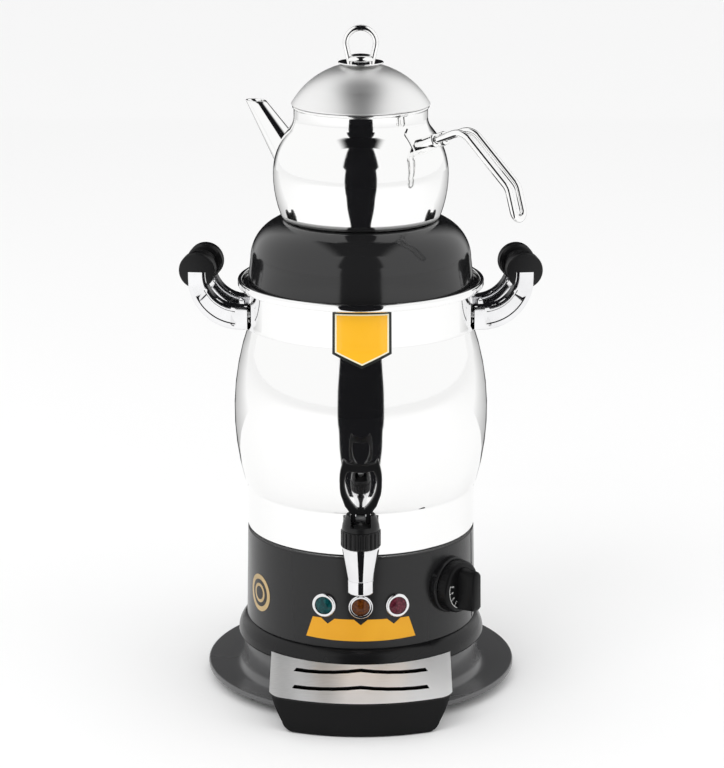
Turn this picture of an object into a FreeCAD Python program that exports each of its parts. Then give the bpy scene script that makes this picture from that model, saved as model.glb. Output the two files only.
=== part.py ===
"""Electric samovar with a steel teapot on top, a lever tap and a drip tray.

Millimetres, +Z up. The origin is on the samovar's axis at table level, and the
tap faces -Y. An azimuth is measured from the tap, positive towards +X.
"""
import FreeCAD, Part
import Sketcher
import math
import os

from FreeCAD import Placement, Rotation, Vector

UP = Vector(0, 0, 1)
FREE = 0.3          # air between curved faces of pieces that lift or slide apart
RUNNING = 0.05      # radial play of a pin or stem that turns or slides in its hole
BIG = 400.0         # longer than any piece, for cutting tools that pass right through

doc = FreeCAD.newDocument("samovar")

# Driving sizes: name, millimetres or degrees or a count, and what it is
DRIVING_SIZES = [
    ("base_radius", 120.0, "outer radius of the base plate's turned-down lip"),
    ("base_crease_radius", 104.5, "radius where the pan floor starts to rise"),
    ("base_lip_top", 11.0, "height of the lip's upper edge"),
    ("base_lip_drop", 3.5, "height of the lip's outer face"),
    ("pan_floor_top", 7.0, "height of the pan floor's upper face"),
    ("hub_radius", 92.0, "outer radius of the base plate's raised hub"),
    ("hub_top", 35.0, "height of the hub's upper face"),
    ("base_sheet", 1.5, "thickness of the base plate and the bottom cover"),
    ("cover_radius", 89.5, "outer radius of the bottom cover"),
    ("foot_radius", 9.0, "radius of a rubber foot"),
    ("foot_circle", 78.0, "radius of the circle that the feet stand on"),
    ("collar_bulge_radius", 96.0, "greatest radius of the collar under the housing"),
    ("collar_bottom", 33.2, "height of the collar's lower edge"),
    ("housing_bottom", 48.5, "height of the lower housing's lower edge"),
    ("housing_top", 121.0, "height of the lower housing's upper edge"),
    ("housing_bottom_radius", 89.4, "outer radius of the housing at its lower edge"),
    ("housing_top_radius", 88.0, "outer radius of the housing at its upper edge"),
    ("housing_sheet", 1.5, "thickness of the lower housing"),
    ("urn_sheet", 1.5, "thickness of the urn's wall"),
    ("urn_skirt_radius", 86.4, "outer radius of the urn's skirt inside the housing"),
    ("urn_skirt_bottom", 112.0, "height of the skirt's lower edge"),
    ("urn_floor_top", 124.5, "height of the urn's floor inside"),
    ("urn_foot_radius", 87.8, "outer radius of the straight foot that holds the tap"),
    ("urn_foot_top", 155.5, "height where the foot ends"),
    ("urn_belly_radius", 97.4, "greatest outer radius of the urn"),
    ("urn_belly_height", 214.0, "height of the greatest radius"),
    ("urn_belly_curve", 200.0, "radius of the belly's curve seen from the side"),
    ("urn_neck_radius", 85.6, "outer radius of the urn's neck"),
    ("urn_neck_bottom", 282.0, "height where the neck starts"),
    ("urn_flange_top", 313.0, "height of the rim's flange, which carries the cover"),
    ("urn_bead_radius", 93.8, "outer radius of the rolled rim"),
    ("urn_bead_top", 318.0, "height of the rolled rim"),
    ("cover_seat_top", 363.7, "height of the flat seat that the teapot stands on"),
    ("cover_hole_radius", 40.0, "radius of the steam opening in the cover"),
    ("cover_sheet", 1.5, "thickness of the cover"),
    ("pot_bottom", 364.0, "height of the teapot's underside"),
    ("pot_belly_radius", 66.3, "greatest outer radius of the teapot"),
    ("pot_belly_height", 398.0, "height of the greatest radius"),
    ("pot_neck_radius", 50.4, "outer radius of the teapot's neck"),
    ("pot_rim_top", 449.8, "height of the teapot's rim"),
    ("pot_sheet", 1.2, "thickness of the teapot's wall"),
    ("pot_azimuth", 53.0, "azimuth of the teapot's handle; the spout is opposite"),
    ("lid_top", 481.6, "height of the lid's crown"),
    ("lid_radius", 52.2, "outer radius of the lid"),
    ("lid_rim_bottom", 450.2, "height of the lid's lower edge"),
    ("ring_rod_radius", 2.2, "radius of the rod of the lid's ring"),
    ("ring_radius", 11.2, "radius of the ring's bend, on the rod's centre line"),
    ("ring_centre_height", 496.3, "height of the centre of the ring's bend"),
    ("handle_rod_radius", 2.6, "radius of the rod of the teapot's handle"),
    ("handle_half_gap", 6.2, "half the distance between the handle's two rods"),
    ("grip_azimuth", 97.3, "azimuth of each urn handle, a little behind the middle"),
    ("grip_distance", 123.2, "distance of a grip's axis from the samovar's axis"),
    ("grip_height", 323.2, "height of a grip's axis"),
    ("grip_half_length", 21.5, "half the length of a grip"),
    ("grip_cap_radius", 13.9, "radius of a grip's end cap"),
    ("grip_barrel_radius", 9.8, "radius of the ribs of a grip's barrel"),
    ("arm_thickness", 8.6, "thickness of a handle's arm"),
    ("arm_width", 13.5, "width of an arm where it enters the grip"),
    ("tap_distance", 135.0, "distance of the tap's axis from the samovar's axis"),
    ("tap_shank_height", 139.0, "height of the tap's shank"),
    ("tap_shank_radius", 8.0, "outer radius of the tap's shank"),
    ("spout_bottom", 111.3, "height of the tap's outlet"),
    ("spout_bore_radius", 7.6, "radius of the outlet's bore"),
    ("tap_shoulder_height", 147.4, "height where the tap's collar starts"),
    ("tap_collar_radius", 14.7, "outer radius of the knurled collar"),
    ("tap_collar_top", 160.0, "height of the knurled collar's upper face"),
    ("pin_height", 168.0, "height of the lever's pin"),
    ("pin_radius", 1.5, "radius of the lever's pin"),
    ("stem_radius", 2.2, "radius of the valve stem"),
    ("lever_thickness", 6.0, "thickness of the tap's lever"),
    ("tray_inner_radius", 96.7, "radius of the tray's back wall, round the collar"),
    ("tray_outer_radius", 144.0, "radius of the tray's front wall"),
    ("tray_half_width", 68.0, "half the width of the tray at its top"),
    ("tray_bottom", 0.8, "height of the tray's lowest face in front of the base"),
    ("tray_wall", 2.0, "thickness of the tray's walls"),
    ("grille_back_height", 39.3, "height of the drip plate at the tray's back wall"),
    ("grille_front_height", 27.0, "height of the drip plate at the tray's front wall"),
    ("grille_sheet", 1.4, "thickness of the drip plate"),
    ("lamp_height", 83.0, "height of the three indicator lamps"),
    ("lamp_step", 18.0, "azimuth between neighbouring lamps"),
    ("lamp_bezel_radius", 9.4, "outer radius of a lamp's bezel"),
    ("knob_azimuth", 50.0, "azimuth of the thermostat knob"),
    ("knob_height", 90.0, "height of the thermostat knob's axis"),
    ("knob_skirt_radius", 20.5, "radius of the knob's skirt"),
    ("gland_height", 64.0, "height of the cable gland at the back"),
    ("gland_bore_radius", 3.8, "radius of the gland's bore"),
]
VALUES = {name: value for name, value, meaning in DRIVING_SIZES}


def make_sheet():
    """The spreadsheet of driving sizes, one row each."""
    sheet = doc.addObject("Spreadsheet::Sheet", "Sizes")
    for row, (name, value, meaning) in enumerate(DRIVING_SIZES, start=1):
        sheet.set(f"A{row}", meaning)
        sheet.set(f"B{row}", str(value))
        sheet.setAlias(f"B{row}", name)
    doc.recompute()
    return sheet


class Size:
    """A length that knows its value and the formula that binds it to the sheet."""

    def __init__(self, value, formula):
        self.value = value
        self.formula = formula

    def __add__(self, other):
        return combine(self, "+", other)

    def __radd__(self, other):
        return combine(other, "+", self)

    def __sub__(self, other):
        return combine(self, "-", other)

    def __rsub__(self, other):
        return combine(other, "-", self)

    def __mul__(self, other):
        return combine(self, "*", other)

    def __rmul__(self, other):
        return combine(other, "*", self)

    def __truediv__(self, other):
        return combine(self, "/", other)

    def __neg__(self):
        return combine(0, "-", self)


def as_size(number):
    """A plain number as a Size; a Size stays as it is."""
    return number if isinstance(number, Size) else Size(float(number), repr(float(number)))


def combine(left, sign, right):
    """The Size that a sum, difference, product or quotient gives."""
    a, b = as_size(left), as_size(right)
    work = {"+": lambda: a.value + b.value, "-": lambda: a.value - b.value,
            "*": lambda: a.value * b.value, "/": lambda: a.value / b.value}
    return Size(work[sign](), f"({a.formula} {sign} {b.formula})")


def plain(number):
    """The numeric value of a Size or a number."""
    return number.value if isinstance(number, Size) else float(number)


class Sizes:
    """Driving sizes by name, as S.base_radius."""

    def __getattr__(self, name):
        return Size(VALUES[name], f"Sizes.{name}")


sheet = make_sheet()
S = Sizes()
PIECES = {}


def bind(thing, prop, number):
    """Set a property and, where the number comes from the sheet, bind it there."""
    setattr(thing, prop, plain(number))
    if isinstance(number, Size):
        thing.setExpression(prop, number.formula)


def finish(name, thing):
    """Name a finished sub-part after its node and keep it for export."""
    thing.Label = name
    PIECES[name] = thing
    return thing


def heading(azimuth):
    """The level unit vector that points away from the axis at an azimuth."""
    turn = math.radians(azimuth)
    return Vector(math.sin(turn), -math.cos(turn), 0)


def outward(azimuth, distance, height):
    """A placement whose Z axis points away from the samovar's axis."""
    away = heading(azimuth)
    side = UP.cross(away)
    turn = Rotation(side, UP, away, "ZYX")
    return Placement(away * plain(distance) + UP * plain(height), turn)


def turned(azimuth):
    """A placement that turns +X to an azimuth, about the samovar's axis."""
    return Placement(Vector(), Rotation(UP, azimuth - 90.0))


# Sketches, bodies, primitives and booleans

def segment(start, end, radius):
    """A line, or an arc of a signed radius: positive turns anticlockwise."""
    if not radius:
        return Part.LineSegment(start, end), 1, 2
    if radius < 0:
        curve, first, last = segment(end, start, -radius)
        return curve, last, first
    chord = end - start
    rise = radius - math.sqrt(max(0.0, radius ** 2 - (chord.Length / 2) ** 2))
    right = Vector(chord.y, -chord.x, 0).normalize()
    middle = (start + end) * 0.5 + right * rise
    return Part.Arc(start, middle, end), 1, 2


def draw_outline(sketch, corners):
    """Draw a closed outline and bind every corner and radius to the sheet.

    A corner is (x, y), or (x, y, radius) where an arc leads to it.
    """
    spots = [Vector(plain(corner[0]), plain(corner[1]), 0) for corner in corners]
    ends = []
    for index, spot in enumerate(spots):
        following = (index + 1) % len(spots)
        radius = corners[following][2] if len(corners[following]) > 2 else 0
        curve, first, last = segment(spot, spots[following], plain(radius))
        sketch.addGeometry(curve)
        ends.append((first, last, radius))
    for index, (first, last, radius) in enumerate(ends):
        following = (index + 1) % len(ends)
        sketch.addConstraint(Sketcher.Constraint("Coincident", index, last, following, ends[following][0]))
        fix(sketch, "DistanceX", index, first, corners[index][0])
        fix(sketch, "DistanceY", index, first, corners[index][1])
        if plain(radius):
            size = -radius if plain(radius) < 0 else radius
            number = sketch.addConstraint(Sketcher.Constraint("Radius", index, plain(size)))
            if isinstance(size, Size):
                sketch.setExpression(f"Constraints[{number}]", size.formula)


def fix(sketch, kind, index, point, number):
    """Hold one coordinate of a point at a value, or on the sketch's axis at nought."""
    if plain(number) == 0:
        axis = -2 if kind == "DistanceX" else -1
        sketch.addConstraint(Sketcher.Constraint("PointOnObject", index, point, axis))
        return
    constraint = Sketcher.Constraint(kind, -1, 1, index, point, plain(number))
    place = sketch.addConstraint(constraint)
    if isinstance(number, Size):
        sketch.setExpression(f"Constraints[{place}]", number.formula)


def add_sketch(body, name, plane, corners, offset=0):
    """A sketch on one of the body's own origin planes, moved along its normal."""
    sketch = body.newObject("Sketcher::SketchObject", name)
    support = [f for f in body.Origin.OriginFeatures if f.Role == plane][0]
    sketch.AttachmentSupport = [(support, "")]
    sketch.MapMode = "FlatFace"
    sketch.AttachmentOffset = Placement(Vector(0, 0, plain(offset)), Rotation())
    if isinstance(offset, Size):
        sketch.setExpression("AttachmentOffset.Base.z", offset.formula)
    draw_outline(sketch, corners)
    return sketch


def revolved(name, corners, placement=None):
    """A body turned about the Z axis from a half section, (radius, height) each."""
    body = doc.addObject("PartDesign::Body", name)
    sketch = add_sketch(body, f"{name}_section", "XZ_Plane", corners)
    turn = body.newObject("PartDesign::Revolution", f"{name}_turn")
    turn.Profile = sketch
    turn.ReferenceAxis = (sketch, ["V_Axis"])
    turn.Angle = 360.0
    body.Tip = turn
    body.Placement = placement or Placement()
    return body


def padded(name, plane, corners, length, offset=0, placement=None):
    """A body pushed out from an outline, along the plane's normal."""
    body = doc.addObject("PartDesign::Body", name)
    sketch = add_sketch(body, f"{name}_outline", plane, corners, offset)
    pad = body.newObject("PartDesign::Pad", f"{name}_pad")
    pad.Profile = sketch
    bind(pad, "Length", length)
    body.Tip = pad
    body.Placement = placement or Placement()
    return body


def cylinder(name, radius, height, placement):
    """A cylinder from its placement's origin along its Z axis."""
    rod = doc.addObject("Part::Cylinder", name)
    bind(rod, "Radius", radius)
    bind(rod, "Height", height)
    rod.Placement = placement
    return rod


def cone(name, first, last, height, placement):
    """A cone from its placement's origin along its Z axis."""
    taper = doc.addObject("Part::Cone", name)
    bind(taper, "Radius1", first)
    bind(taper, "Radius2", last)
    bind(taper, "Height", height)
    taper.Placement = placement
    return taper


def block(name, low, high, placement=None):
    """A box between two corners."""
    box = doc.addObject("Part::Box", name)
    for prop, a, b in zip(("Length", "Width", "Height"), low, high):
        bind(box, prop, as_size(b) - a if isinstance(b, Size) or isinstance(a, Size) else b - a)
    corner = Placement(Vector(*[plain(v) for v in low]), Rotation())
    box.Placement = (placement or Placement()).multiply(corner)
    return box


def hexagon(name, radius, height, placement):
    """A hexagonal prism, for a nut or a screw head."""
    prism = doc.addObject("Part::Prism", name)
    prism.Polygon = 6
    bind(prism, "Circumradius", radius)
    bind(prism, "Height", height)
    prism.Placement = placement
    return prism


def joined(name, *things):
    """Pieces fused into one solid."""
    union = doc.addObject("Part::MultiFuse", name)
    union.Shapes = list(things)
    return union


def group(name, things):
    """Separate solids kept in one node."""
    compound = doc.addObject("Part::Compound", name)
    compound.Links = list(things)
    return compound


def cut(name, base, *tools):
    """A piece with one or more tools taken away."""
    tool = tools[0] if len(tools) == 1 else joined(f"{name}_tools", *tools)
    difference = doc.addObject("Part::Cut", name)
    difference.Base = base
    difference.Tool = tool
    return difference


def common(name, first, second):
    """What two pieces share."""
    shared = doc.addObject("Part::Common", name)
    shared.Base = first
    shared.Tool = second
    return shared


def bent_path(corners, radii):
    """Edges through the corners of a bent rod, with a tangent arc at each bend."""
    edges = []
    here = corners[0]
    for before, corner, after, radius in zip(corners, corners[1:], corners[2:], radii):
        inward, onward = (before - corner).normalize(), (after - corner).normalize()
        half = inward.getAngle(onward) / 2
        reach = radius / math.tan(half)
        start, end = corner + inward * reach, corner + onward * reach
        bisector = (inward + onward).normalize()
        middle = corner + bisector * (radius / math.sin(half) - radius)
        edges.append(Part.LineSegment(here, start).toShape())
        edges.append(Part.Arc(start, middle, end).toShape())
        here = end
    edges.append(Part.LineSegment(here, corners[-1]).toShape())
    return edges


def rod_along(edges, radius):
    """A round rod swept along joined edges."""
    path = Part.Wire(edges)
    start = edges[0].firstVertex().Point if edges[0].Orientation == "Forward" else edges[0].lastVertex().Point
    direction = edges[0].tangentAt(edges[0].FirstParameter)
    profile = Part.Wire([Part.makeCircle(radius, start, direction)])
    return path.makePipeShell([profile], True, True)


def shaped(name, shape, placement=None):
    """A sub-part whose shape is worked out here from the sheet's sizes."""
    feature = doc.addObject("Part::Feature", name)
    feature.Shape = shape
    feature.Placement = placement or Placement()
    return feature


# Base plate: spun steel dish with a raised hub, enamelled

FILLET = 7.0
base_inner_hub = S.hub_radius - S.base_sheet
base_underside = S.pan_floor_top - S.base_sheet
finish("base_plate", revolved("base_plate", [
    (S.hub_radius - 8, S.hub_top),
    (S.hub_radius - 8, S.hub_top - S.base_sheet),
    (base_inner_hub, S.hub_top - S.base_sheet),
    (base_inner_hub, S.pan_floor_top + FILLET),
    (S.hub_radius + FILLET, base_underside, FILLET + S.base_sheet),
    (S.base_crease_radius, base_underside),
    (S.base_radius - S.base_sheet, S.base_lip_top - 2.2),
    (S.base_radius - S.base_sheet, S.base_lip_top - S.base_lip_drop),
    (S.base_radius, S.base_lip_top - S.base_lip_drop),
    (S.base_radius, S.base_lip_top - 1.1),
    (S.base_radius - 1.6, S.base_lip_top, 1.4),
    (S.base_crease_radius, S.pan_floor_top),
    (S.hub_radius + FILLET, S.pan_floor_top),
    (S.hub_radius, S.pan_floor_top + FILLET, -FILLET),
    (S.hub_radius, S.hub_top),
]))

# Bottom cover with air slots, held up by three long rods

ROD_CIRCLE = 66.0
ROD_RADIUS = 2.5
ROD_AZIMUTHS = (90, 210, 330)
FOOT_AZIMUTHS = (45, 135, 225, 315)
SLOT_COUNT = 12

cover_blank = revolved("bottom_cover_blank", [
    (0, base_underside),
    (S.cover_radius, base_underside),
    (S.cover_radius, base_underside + 7),
    (S.cover_radius - S.base_sheet, base_underside + 7),
    (S.cover_radius - S.base_sheet, S.pan_floor_top),
    (0, S.pan_floor_top),
])
cover_tools = [
    cylinder(f"cover_rod_hole_{azimuth}", ROD_RADIUS + 0.1, 20,
             Placement(heading(azimuth) * ROD_CIRCLE, Rotation()))
    for azimuth in ROD_AZIMUTHS
]
cover_tools += [
    cylinder(f"cover_foot_hole_{azimuth}", 1.6, 20,
             Placement(heading(azimuth) * VALUES["foot_circle"], Rotation()))
    for azimuth in FOOT_AZIMUTHS
]
cover_tools += [
    block(f"air_slot_{number}", (24, -1.6, 0), (46, 1.6, 20),
          turned(number * 360.0 / SLOT_COUNT))
    for number in range(SLOT_COUNT)
]
finish("bottom_cover", cut("bottom_cover", cover_blank, *cover_tools))

foot_section = [
    (1.7, 0),
    (S.foot_radius - 1, 0),
    (S.foot_radius, 1, 1),
    (S.foot_radius - 0.6, base_underside),
    (1.7, base_underside),
]
feet, screws = [], []
for azimuth in FOOT_AZIMUTHS:
    spot = Placement(heading(azimuth) * VALUES["foot_circle"], Rotation())
    foot = revolved(f"foot_blank_{azimuth}", foot_section, spot)
    recess = cylinder(f"foot_recess_{azimuth}", 4.2, 3, spot.multiply(Placement(Vector(0, 0, -0.5), Rotation())))
    feet.append(cut(f"foot_{azimuth}", foot, recess))
    screws.append(revolved(f"foot_screw_{azimuth}", [
        (0, 1.0), (3.0, 1.0), (3.6, 2.5), (1.55, 2.5), (1.55, 9.5), (0, 9.5)], spot))
finish("rubber_feet", group("rubber_feet", feet))
finish("foot_screws", group("foot_screws", screws))

# Collar between the base plate and the lower housing

finish("base_collar", revolved("base_collar", [
    (S.hub_radius - 6, S.hub_top),
    (S.hub_radius, S.hub_top),
    (S.hub_radius, S.collar_bottom),
    (S.collar_bulge_radius - 2.4, S.collar_bottom),
    (S.collar_bulge_radius, S.collar_bottom + 2.6, 2.6),
    (S.housing_bottom_radius + 1.2, S.housing_bottom - 1.0, 16),
    (S.housing_bottom_radius - 0.6, S.housing_bottom),
    (S.hub_radius - 6, S.housing_bottom),
]))

# Lower housing: the enamelled drum that hides the wiring

housing_inner_bottom = S.housing_bottom_radius - S.housing_sheet
housing_inner_top = S.housing_top_radius - S.housing_sheet
housing_blank = revolved("lower_housing_blank", [
    (housing_inner_bottom, S.housing_bottom),
    (S.housing_bottom_radius - 0.8, S.housing_bottom),
    (S.housing_bottom_radius, S.housing_bottom + 1.6, 2),
    (S.housing_top_radius, S.housing_top - 1.2),
    (S.housing_top_radius - 1.0, S.housing_top, 1.2),
    (housing_inner_top, S.housing_top),
])
drum = revolved("housing_drum", [
    (0, S.housing_bottom), (S.housing_bottom_radius, S.housing_bottom),
    (S.housing_bottom_radius, S.housing_bottom + 1.6), (S.housing_top_radius, S.housing_top - 1.2),
    (0, S.housing_top - 1.2)])
LAMP_BODY_RADIUS = 7.4
SHAFT_RADIUS = 3.0
GLAND_HOLE_RADIUS = 6.5
LAMP_AZIMUTHS = [-VALUES["lamp_step"], 0.0, VALUES["lamp_step"]]
housing_tools = [
    cylinder(f"lamp_hole_{number}", LAMP_BODY_RADIUS + 0.1, 30, outward(azimuth, 70, S.lamp_height))
    for number, azimuth in enumerate(LAMP_AZIMUTHS)
]
housing_tools.append(cylinder("shaft_hole", SHAFT_RADIUS + 1.5, 30, outward(VALUES["knob_azimuth"], 70, S.knob_height)))
housing_tools.append(cylinder("gland_hole", GLAND_HOLE_RADIUS, 30, outward(180, 70, S.gland_height)))
finish("lower_housing", cut("lower_housing", housing_blank, *housing_tools))

# Indicator lamps: chromed bezel, coloured lens and a ring nut behind the wall

LAMP_WALL = 88.4        # where the bezel's flange meets the housing, from the axis
lamp_bezels, lamp_nuts = [], []
for number, azimuth in enumerate(LAMP_AZIMUTHS):
    spot = outward(azimuth, LAMP_WALL, S.lamp_height)
    bezel = revolved(f"bezel_blank_{number}", [
        (6.0, -14), (LAMP_BODY_RADIUS, -14), (LAMP_BODY_RADIUS, -1.5), (S.lamp_bezel_radius, -1.5),
        (S.lamp_bezel_radius, 1.4), (8.4, 2.8, 1.6), (6.9, 2.6), (6.6, 0.8), (6.0, 0.8)], spot)
    core = cylinder(f"bezel_core_{number}", LAMP_BODY_RADIUS, 16, outward(azimuth, LAMP_WALL - 14, S.lamp_height))
    lamp_bezels.append(cut(f"bezel_{number}", bezel, cut(f"bezel_shadow_{number}", drum, core)))
    lamp_nuts.append(revolved(f"lamp_nut_{number}", [
        (LAMP_BODY_RADIUS, -5.6), (10.2, -5.6), (10.2, -2.9), (LAMP_BODY_RADIUS, -2.9)], spot))
finish("lamp_bezels", group("lamp_bezels", lamp_bezels))
finish("lamp_nuts", group("lamp_nuts", lamp_nuts))
for colour, azimuth in zip(("green", "amber", "red"), LAMP_AZIMUTHS):
    finish(f"lamp_lens_{colour}", revolved(f"lamp_lens_{colour}", [
        (0, -8), (6.0, -8), (6.0, 0.8), (6.5, 0.8), (6.6, 2.2), (0, 4.0, 13.0)],
        outward(azimuth, LAMP_WALL, S.lamp_height)))

# Thermostat: body and escutcheon stay on the wall, shaft and knob turn

KNOB_WALL = 88.6        # where the escutcheon's flat back stands, from the axis
knob_spot = outward(VALUES["knob_azimuth"], KNOB_WALL, S.knob_height)
escutcheon = revolved("escutcheon_blank", [
    (SHAFT_RADIUS + 1.5, -2.6), (S.knob_skirt_radius + 1.0, -2.6), (S.knob_skirt_radius + 1.2, 2.0),
    (S.knob_skirt_radius - 0.4, 3.6, 1.6), (SHAFT_RADIUS + 1.5, 3.6)], knob_spot)
finish("thermostat_bezel", cut("thermostat_bezel", escutcheon, drum))
thermostat = revolved("thermostat_case", [
    (SHAFT_RADIUS + RUNNING, -22), (14, -22), (14, -4.4), (SHAFT_RADIUS + RUNNING, -4.4)], knob_spot)
finish("thermostat_body", thermostat)
finish("thermostat_shaft", cylinder("thermostat_shaft", SHAFT_RADIUS, 38, knob_spot.multiply(
    Placement(Vector(0, 0, -22), Rotation()))))
SKIRT_BACK = 4.2
skirt = revolved("knob_skirt", [
    (0, SKIRT_BACK), (S.knob_skirt_radius, SKIRT_BACK), (S.knob_skirt_radius - 0.5, 10.5),
    (S.knob_skirt_radius - 3.0, 12.8, 3), (0, 12.8)], knob_spot)
bar = padded("knob_bar", "XY_Plane", [
    (-7.2, -15.5), (7.2, -15.5, 12), (6.2, 12.5), (-6.2, 12.5, 7)], 27.0 - 12.0, 12.0, knob_spot)
bar_flanks = [
    block("bar_flank_right", (5.6, -30, 14), (30, 30, 40), knob_spot.multiply(
        Placement(Vector(0, 0, 0), Rotation(Vector(0, 1, 0), -7)))),
    block("bar_flank_left", (-30, -30, 14), (-5.6, 30, 40), knob_spot.multiply(
        Placement(Vector(0, 0, 0), Rotation(Vector(0, 1, 0), 7)))),
]
knob_blank = joined("knob_blank", skirt, cut("knob_bar_tapered", bar, *bar_flanks))
knob_bore = cylinder("knob_bore", SHAFT_RADIUS, 13, knob_spot.multiply(Placement(Vector(0, 0, 3), Rotation())))
finish("thermostat_knob", cut("thermostat_knob", knob_blank, knob_bore))

# Cable gland at the back, and the terminal block behind it

gland_spot = outward(180, 89.0, S.gland_height)
gland = revolved("gland_blank", [
    (S.gland_bore_radius, -14), (GLAND_HOLE_RADIUS, -14), (GLAND_HOLE_RADIUS, -1.6), (9.0, -1.6),
    (9.0, 3.0), (7.6, 4.0), (6.2, 14.0), (5.2, 15.0), (S.gland_bore_radius, 15.0)], gland_spot)
finish("cable_gland", cut("cable_gland", gland, common("gland_shadow", drum, revolved(
    "gland_ring", [(GLAND_HOLE_RADIUS, -14), (20, -14), (20, 4), (GLAND_HOLE_RADIUS, 4)], gland_spot))))
nut = hexagon("gland_nut_blank", 10.0, 4.0, gland_spot.multiply(Placement(Vector(0, 0, -7.4), Rotation())))
finish("gland_nut", cut("gland_nut", nut, cylinder("gland_nut_bore", GLAND_HOLE_RADIUS, 40, gland_spot.multiply(
    Placement(Vector(0, 0, -20), Rotation())))))
terminal = block("terminal_blank", (-22, 34, S.pan_floor_top), (22, 50, S.pan_floor_top + 18))
terminal_holes = [
    cylinder(f"terminal_hole_{number}", 2.2, 40, Placement(
        Vector(-15 + 10 * number, 30, VALUES["pan_floor_top"] + 8), Rotation(Vector(1, 0, 0), -90)))
    for number in range(4)
]
finish("terminal_block", cut("terminal_block", terminal, *terminal_holes))

# Urn: spun steel shell with a rolled rim, and its welded floor

belly_centre = S.urn_belly_radius - S.urn_belly_curve
LOW_BELLY = 159.5       # height where the belly meets the step above the foot
HIGH_BELLY = 281.0      # height where the belly meets the neck


def belly_radius(height, inset=0.0):
    """The belly's radius at a height, on its outer face or a wall inside it."""
    curve = VALUES["urn_belly_curve"] - inset
    rise = height - VALUES["urn_belly_height"]
    return VALUES["urn_belly_radius"] - inset - (curve - math.sqrt(curve ** 2 - rise ** 2))


urn_outer = [
    (S.urn_skirt_radius, S.urn_skirt_bottom),
    (S.urn_skirt_radius, S.housing_top + 0.4),
    (S.urn_foot_radius, S.housing_top + 2.6, -3),
    (S.urn_foot_radius, S.urn_foot_top),
    (belly_radius(LOW_BELLY), LOW_BELLY),
    (belly_radius(HIGH_BELLY), HIGH_BELLY, S.urn_belly_curve),
    (S.urn_neck_radius, S.urn_neck_bottom + 3, -9),
    (S.urn_neck_radius, S.urn_flange_top - S.urn_sheet),
]
wall = VALUES["urn_sheet"]
urn_inner_top = S.urn_neck_radius - S.urn_sheet
urn_blank = revolved("urn_blank", urn_outer + [
    (S.urn_bead_radius - 2.6, S.urn_flange_top - S.urn_sheet),
    (S.urn_bead_radius, S.urn_flange_top + 1.1, 2.6),
    (S.urn_bead_radius, S.urn_bead_top - 1.6),
    (S.urn_bead_radius - 3.2, S.urn_bead_top - 1.6, 1.62),
    (S.urn_bead_radius - 3.2, S.urn_flange_top),
    (urn_inner_top, S.urn_flange_top),
    (urn_inner_top, S.urn_neck_bottom + 3),
    (belly_radius(HIGH_BELLY, wall), HIGH_BELLY, 10),
    (belly_radius(LOW_BELLY, wall), LOW_BELLY, -(S.urn_belly_curve - S.urn_sheet)),
    (S.urn_foot_radius - S.urn_sheet, S.urn_foot_top),
    (S.urn_foot_radius - S.urn_sheet, S.urn_floor_top + 3),
    (S.urn_skirt_radius - S.urn_sheet, S.urn_floor_top + 1.2, -2.4),
    (S.urn_skirt_radius - S.urn_sheet, S.urn_skirt_bottom),
])
urn_envelope = revolved("urn_envelope", urn_outer + [
    (0, S.urn_flange_top - S.urn_sheet), (0, S.urn_skirt_bottom)])

BOSS_RADIUS = 5.0
BOSS_BOTTOM = 113.0
HEATER_LEG_X = 18.0
HEATER_LEG_Y = 34.0
HEATER_TUBE_RADIUS = 3.6
SCREW_RADIUS = 2.5
ARM_OFFSET = VALUES["grip_half_length"] + 0.8 - VALUES["arm_thickness"] / 2
ARM_INSIDE = ARM_OFFSET - VALUES["arm_thickness"] / 2
ARM_SCREW_HEIGHT = 289.5

FLOOR_RADIUS = S.urn_skirt_radius - S.urn_sheet
bosses = [
    cylinder(f"rod_boss_{azimuth}", BOSS_RADIUS, VALUES["urn_floor_top"] - 1 - BOSS_BOTTOM, Placement(
        heading(azimuth) * ROD_CIRCLE + UP * BOSS_BOTTOM, Rotation()))
    for azimuth in ROD_AZIMUTHS
]
floor_holes = [
    cylinder(f"rod_thread_{azimuth}", ROD_RADIUS, 8, Placement(
        heading(azimuth) * ROD_CIRCLE + UP * (BOSS_BOTTOM - 1), Rotation()))
    for azimuth in ROD_AZIMUTHS
]
floor_holes += [
    cylinder(f"heater_hole_{side}", HEATER_TUBE_RADIUS + 0.1, 20, Placement(
        Vector(side * HEATER_LEG_X, HEATER_LEG_Y, 110), Rotation()))
    for side in (-1, 1)
]


def in_handle(side, x, y, z, turn=None):
    """A placement in a handle's own frame: X away from the axis, Y along the grip."""
    return turned(side * VALUES["grip_azimuth"]).multiply(Placement(Vector(x, y, z), turn or Rotation()))


ALONG_X = Rotation(Vector(0, 1, 0), 90)
arm_screw_spots = [
    (side, hand, in_handle(side, 70, hand * ARM_OFFSET, ARM_SCREW_HEIGHT, ALONG_X))
    for side in (-1, 1) for hand in (-1, 1)
]
shell_holes = [
    cylinder(f"arm_screw_hole_{side}_{hand}", SCREW_RADIUS + 0.1, 22, spot)
    for side, hand, spot in arm_screw_spots
]
shell_holes.append(cylinder("tap_hole", S.tap_shank_radius + 0.2, 30, outward(0, 70, S.tap_shank_height)))
finish("urn_body", cut("urn_body", urn_blank, *shell_holes))
urn_floor = revolved("urn_floor_blank", [
    (0, S.urn_floor_top - S.urn_sheet), (FLOOR_RADIUS, S.urn_floor_top - S.urn_sheet),
    (FLOOR_RADIUS, S.urn_floor_top), (0, S.urn_floor_top)])
finish("urn_floor", cut("urn_floor", joined("floor_with_bosses", urn_floor, *bosses), *floor_holes))

# Long rods that pull the urn, the housing, the collar and the base together

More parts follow.
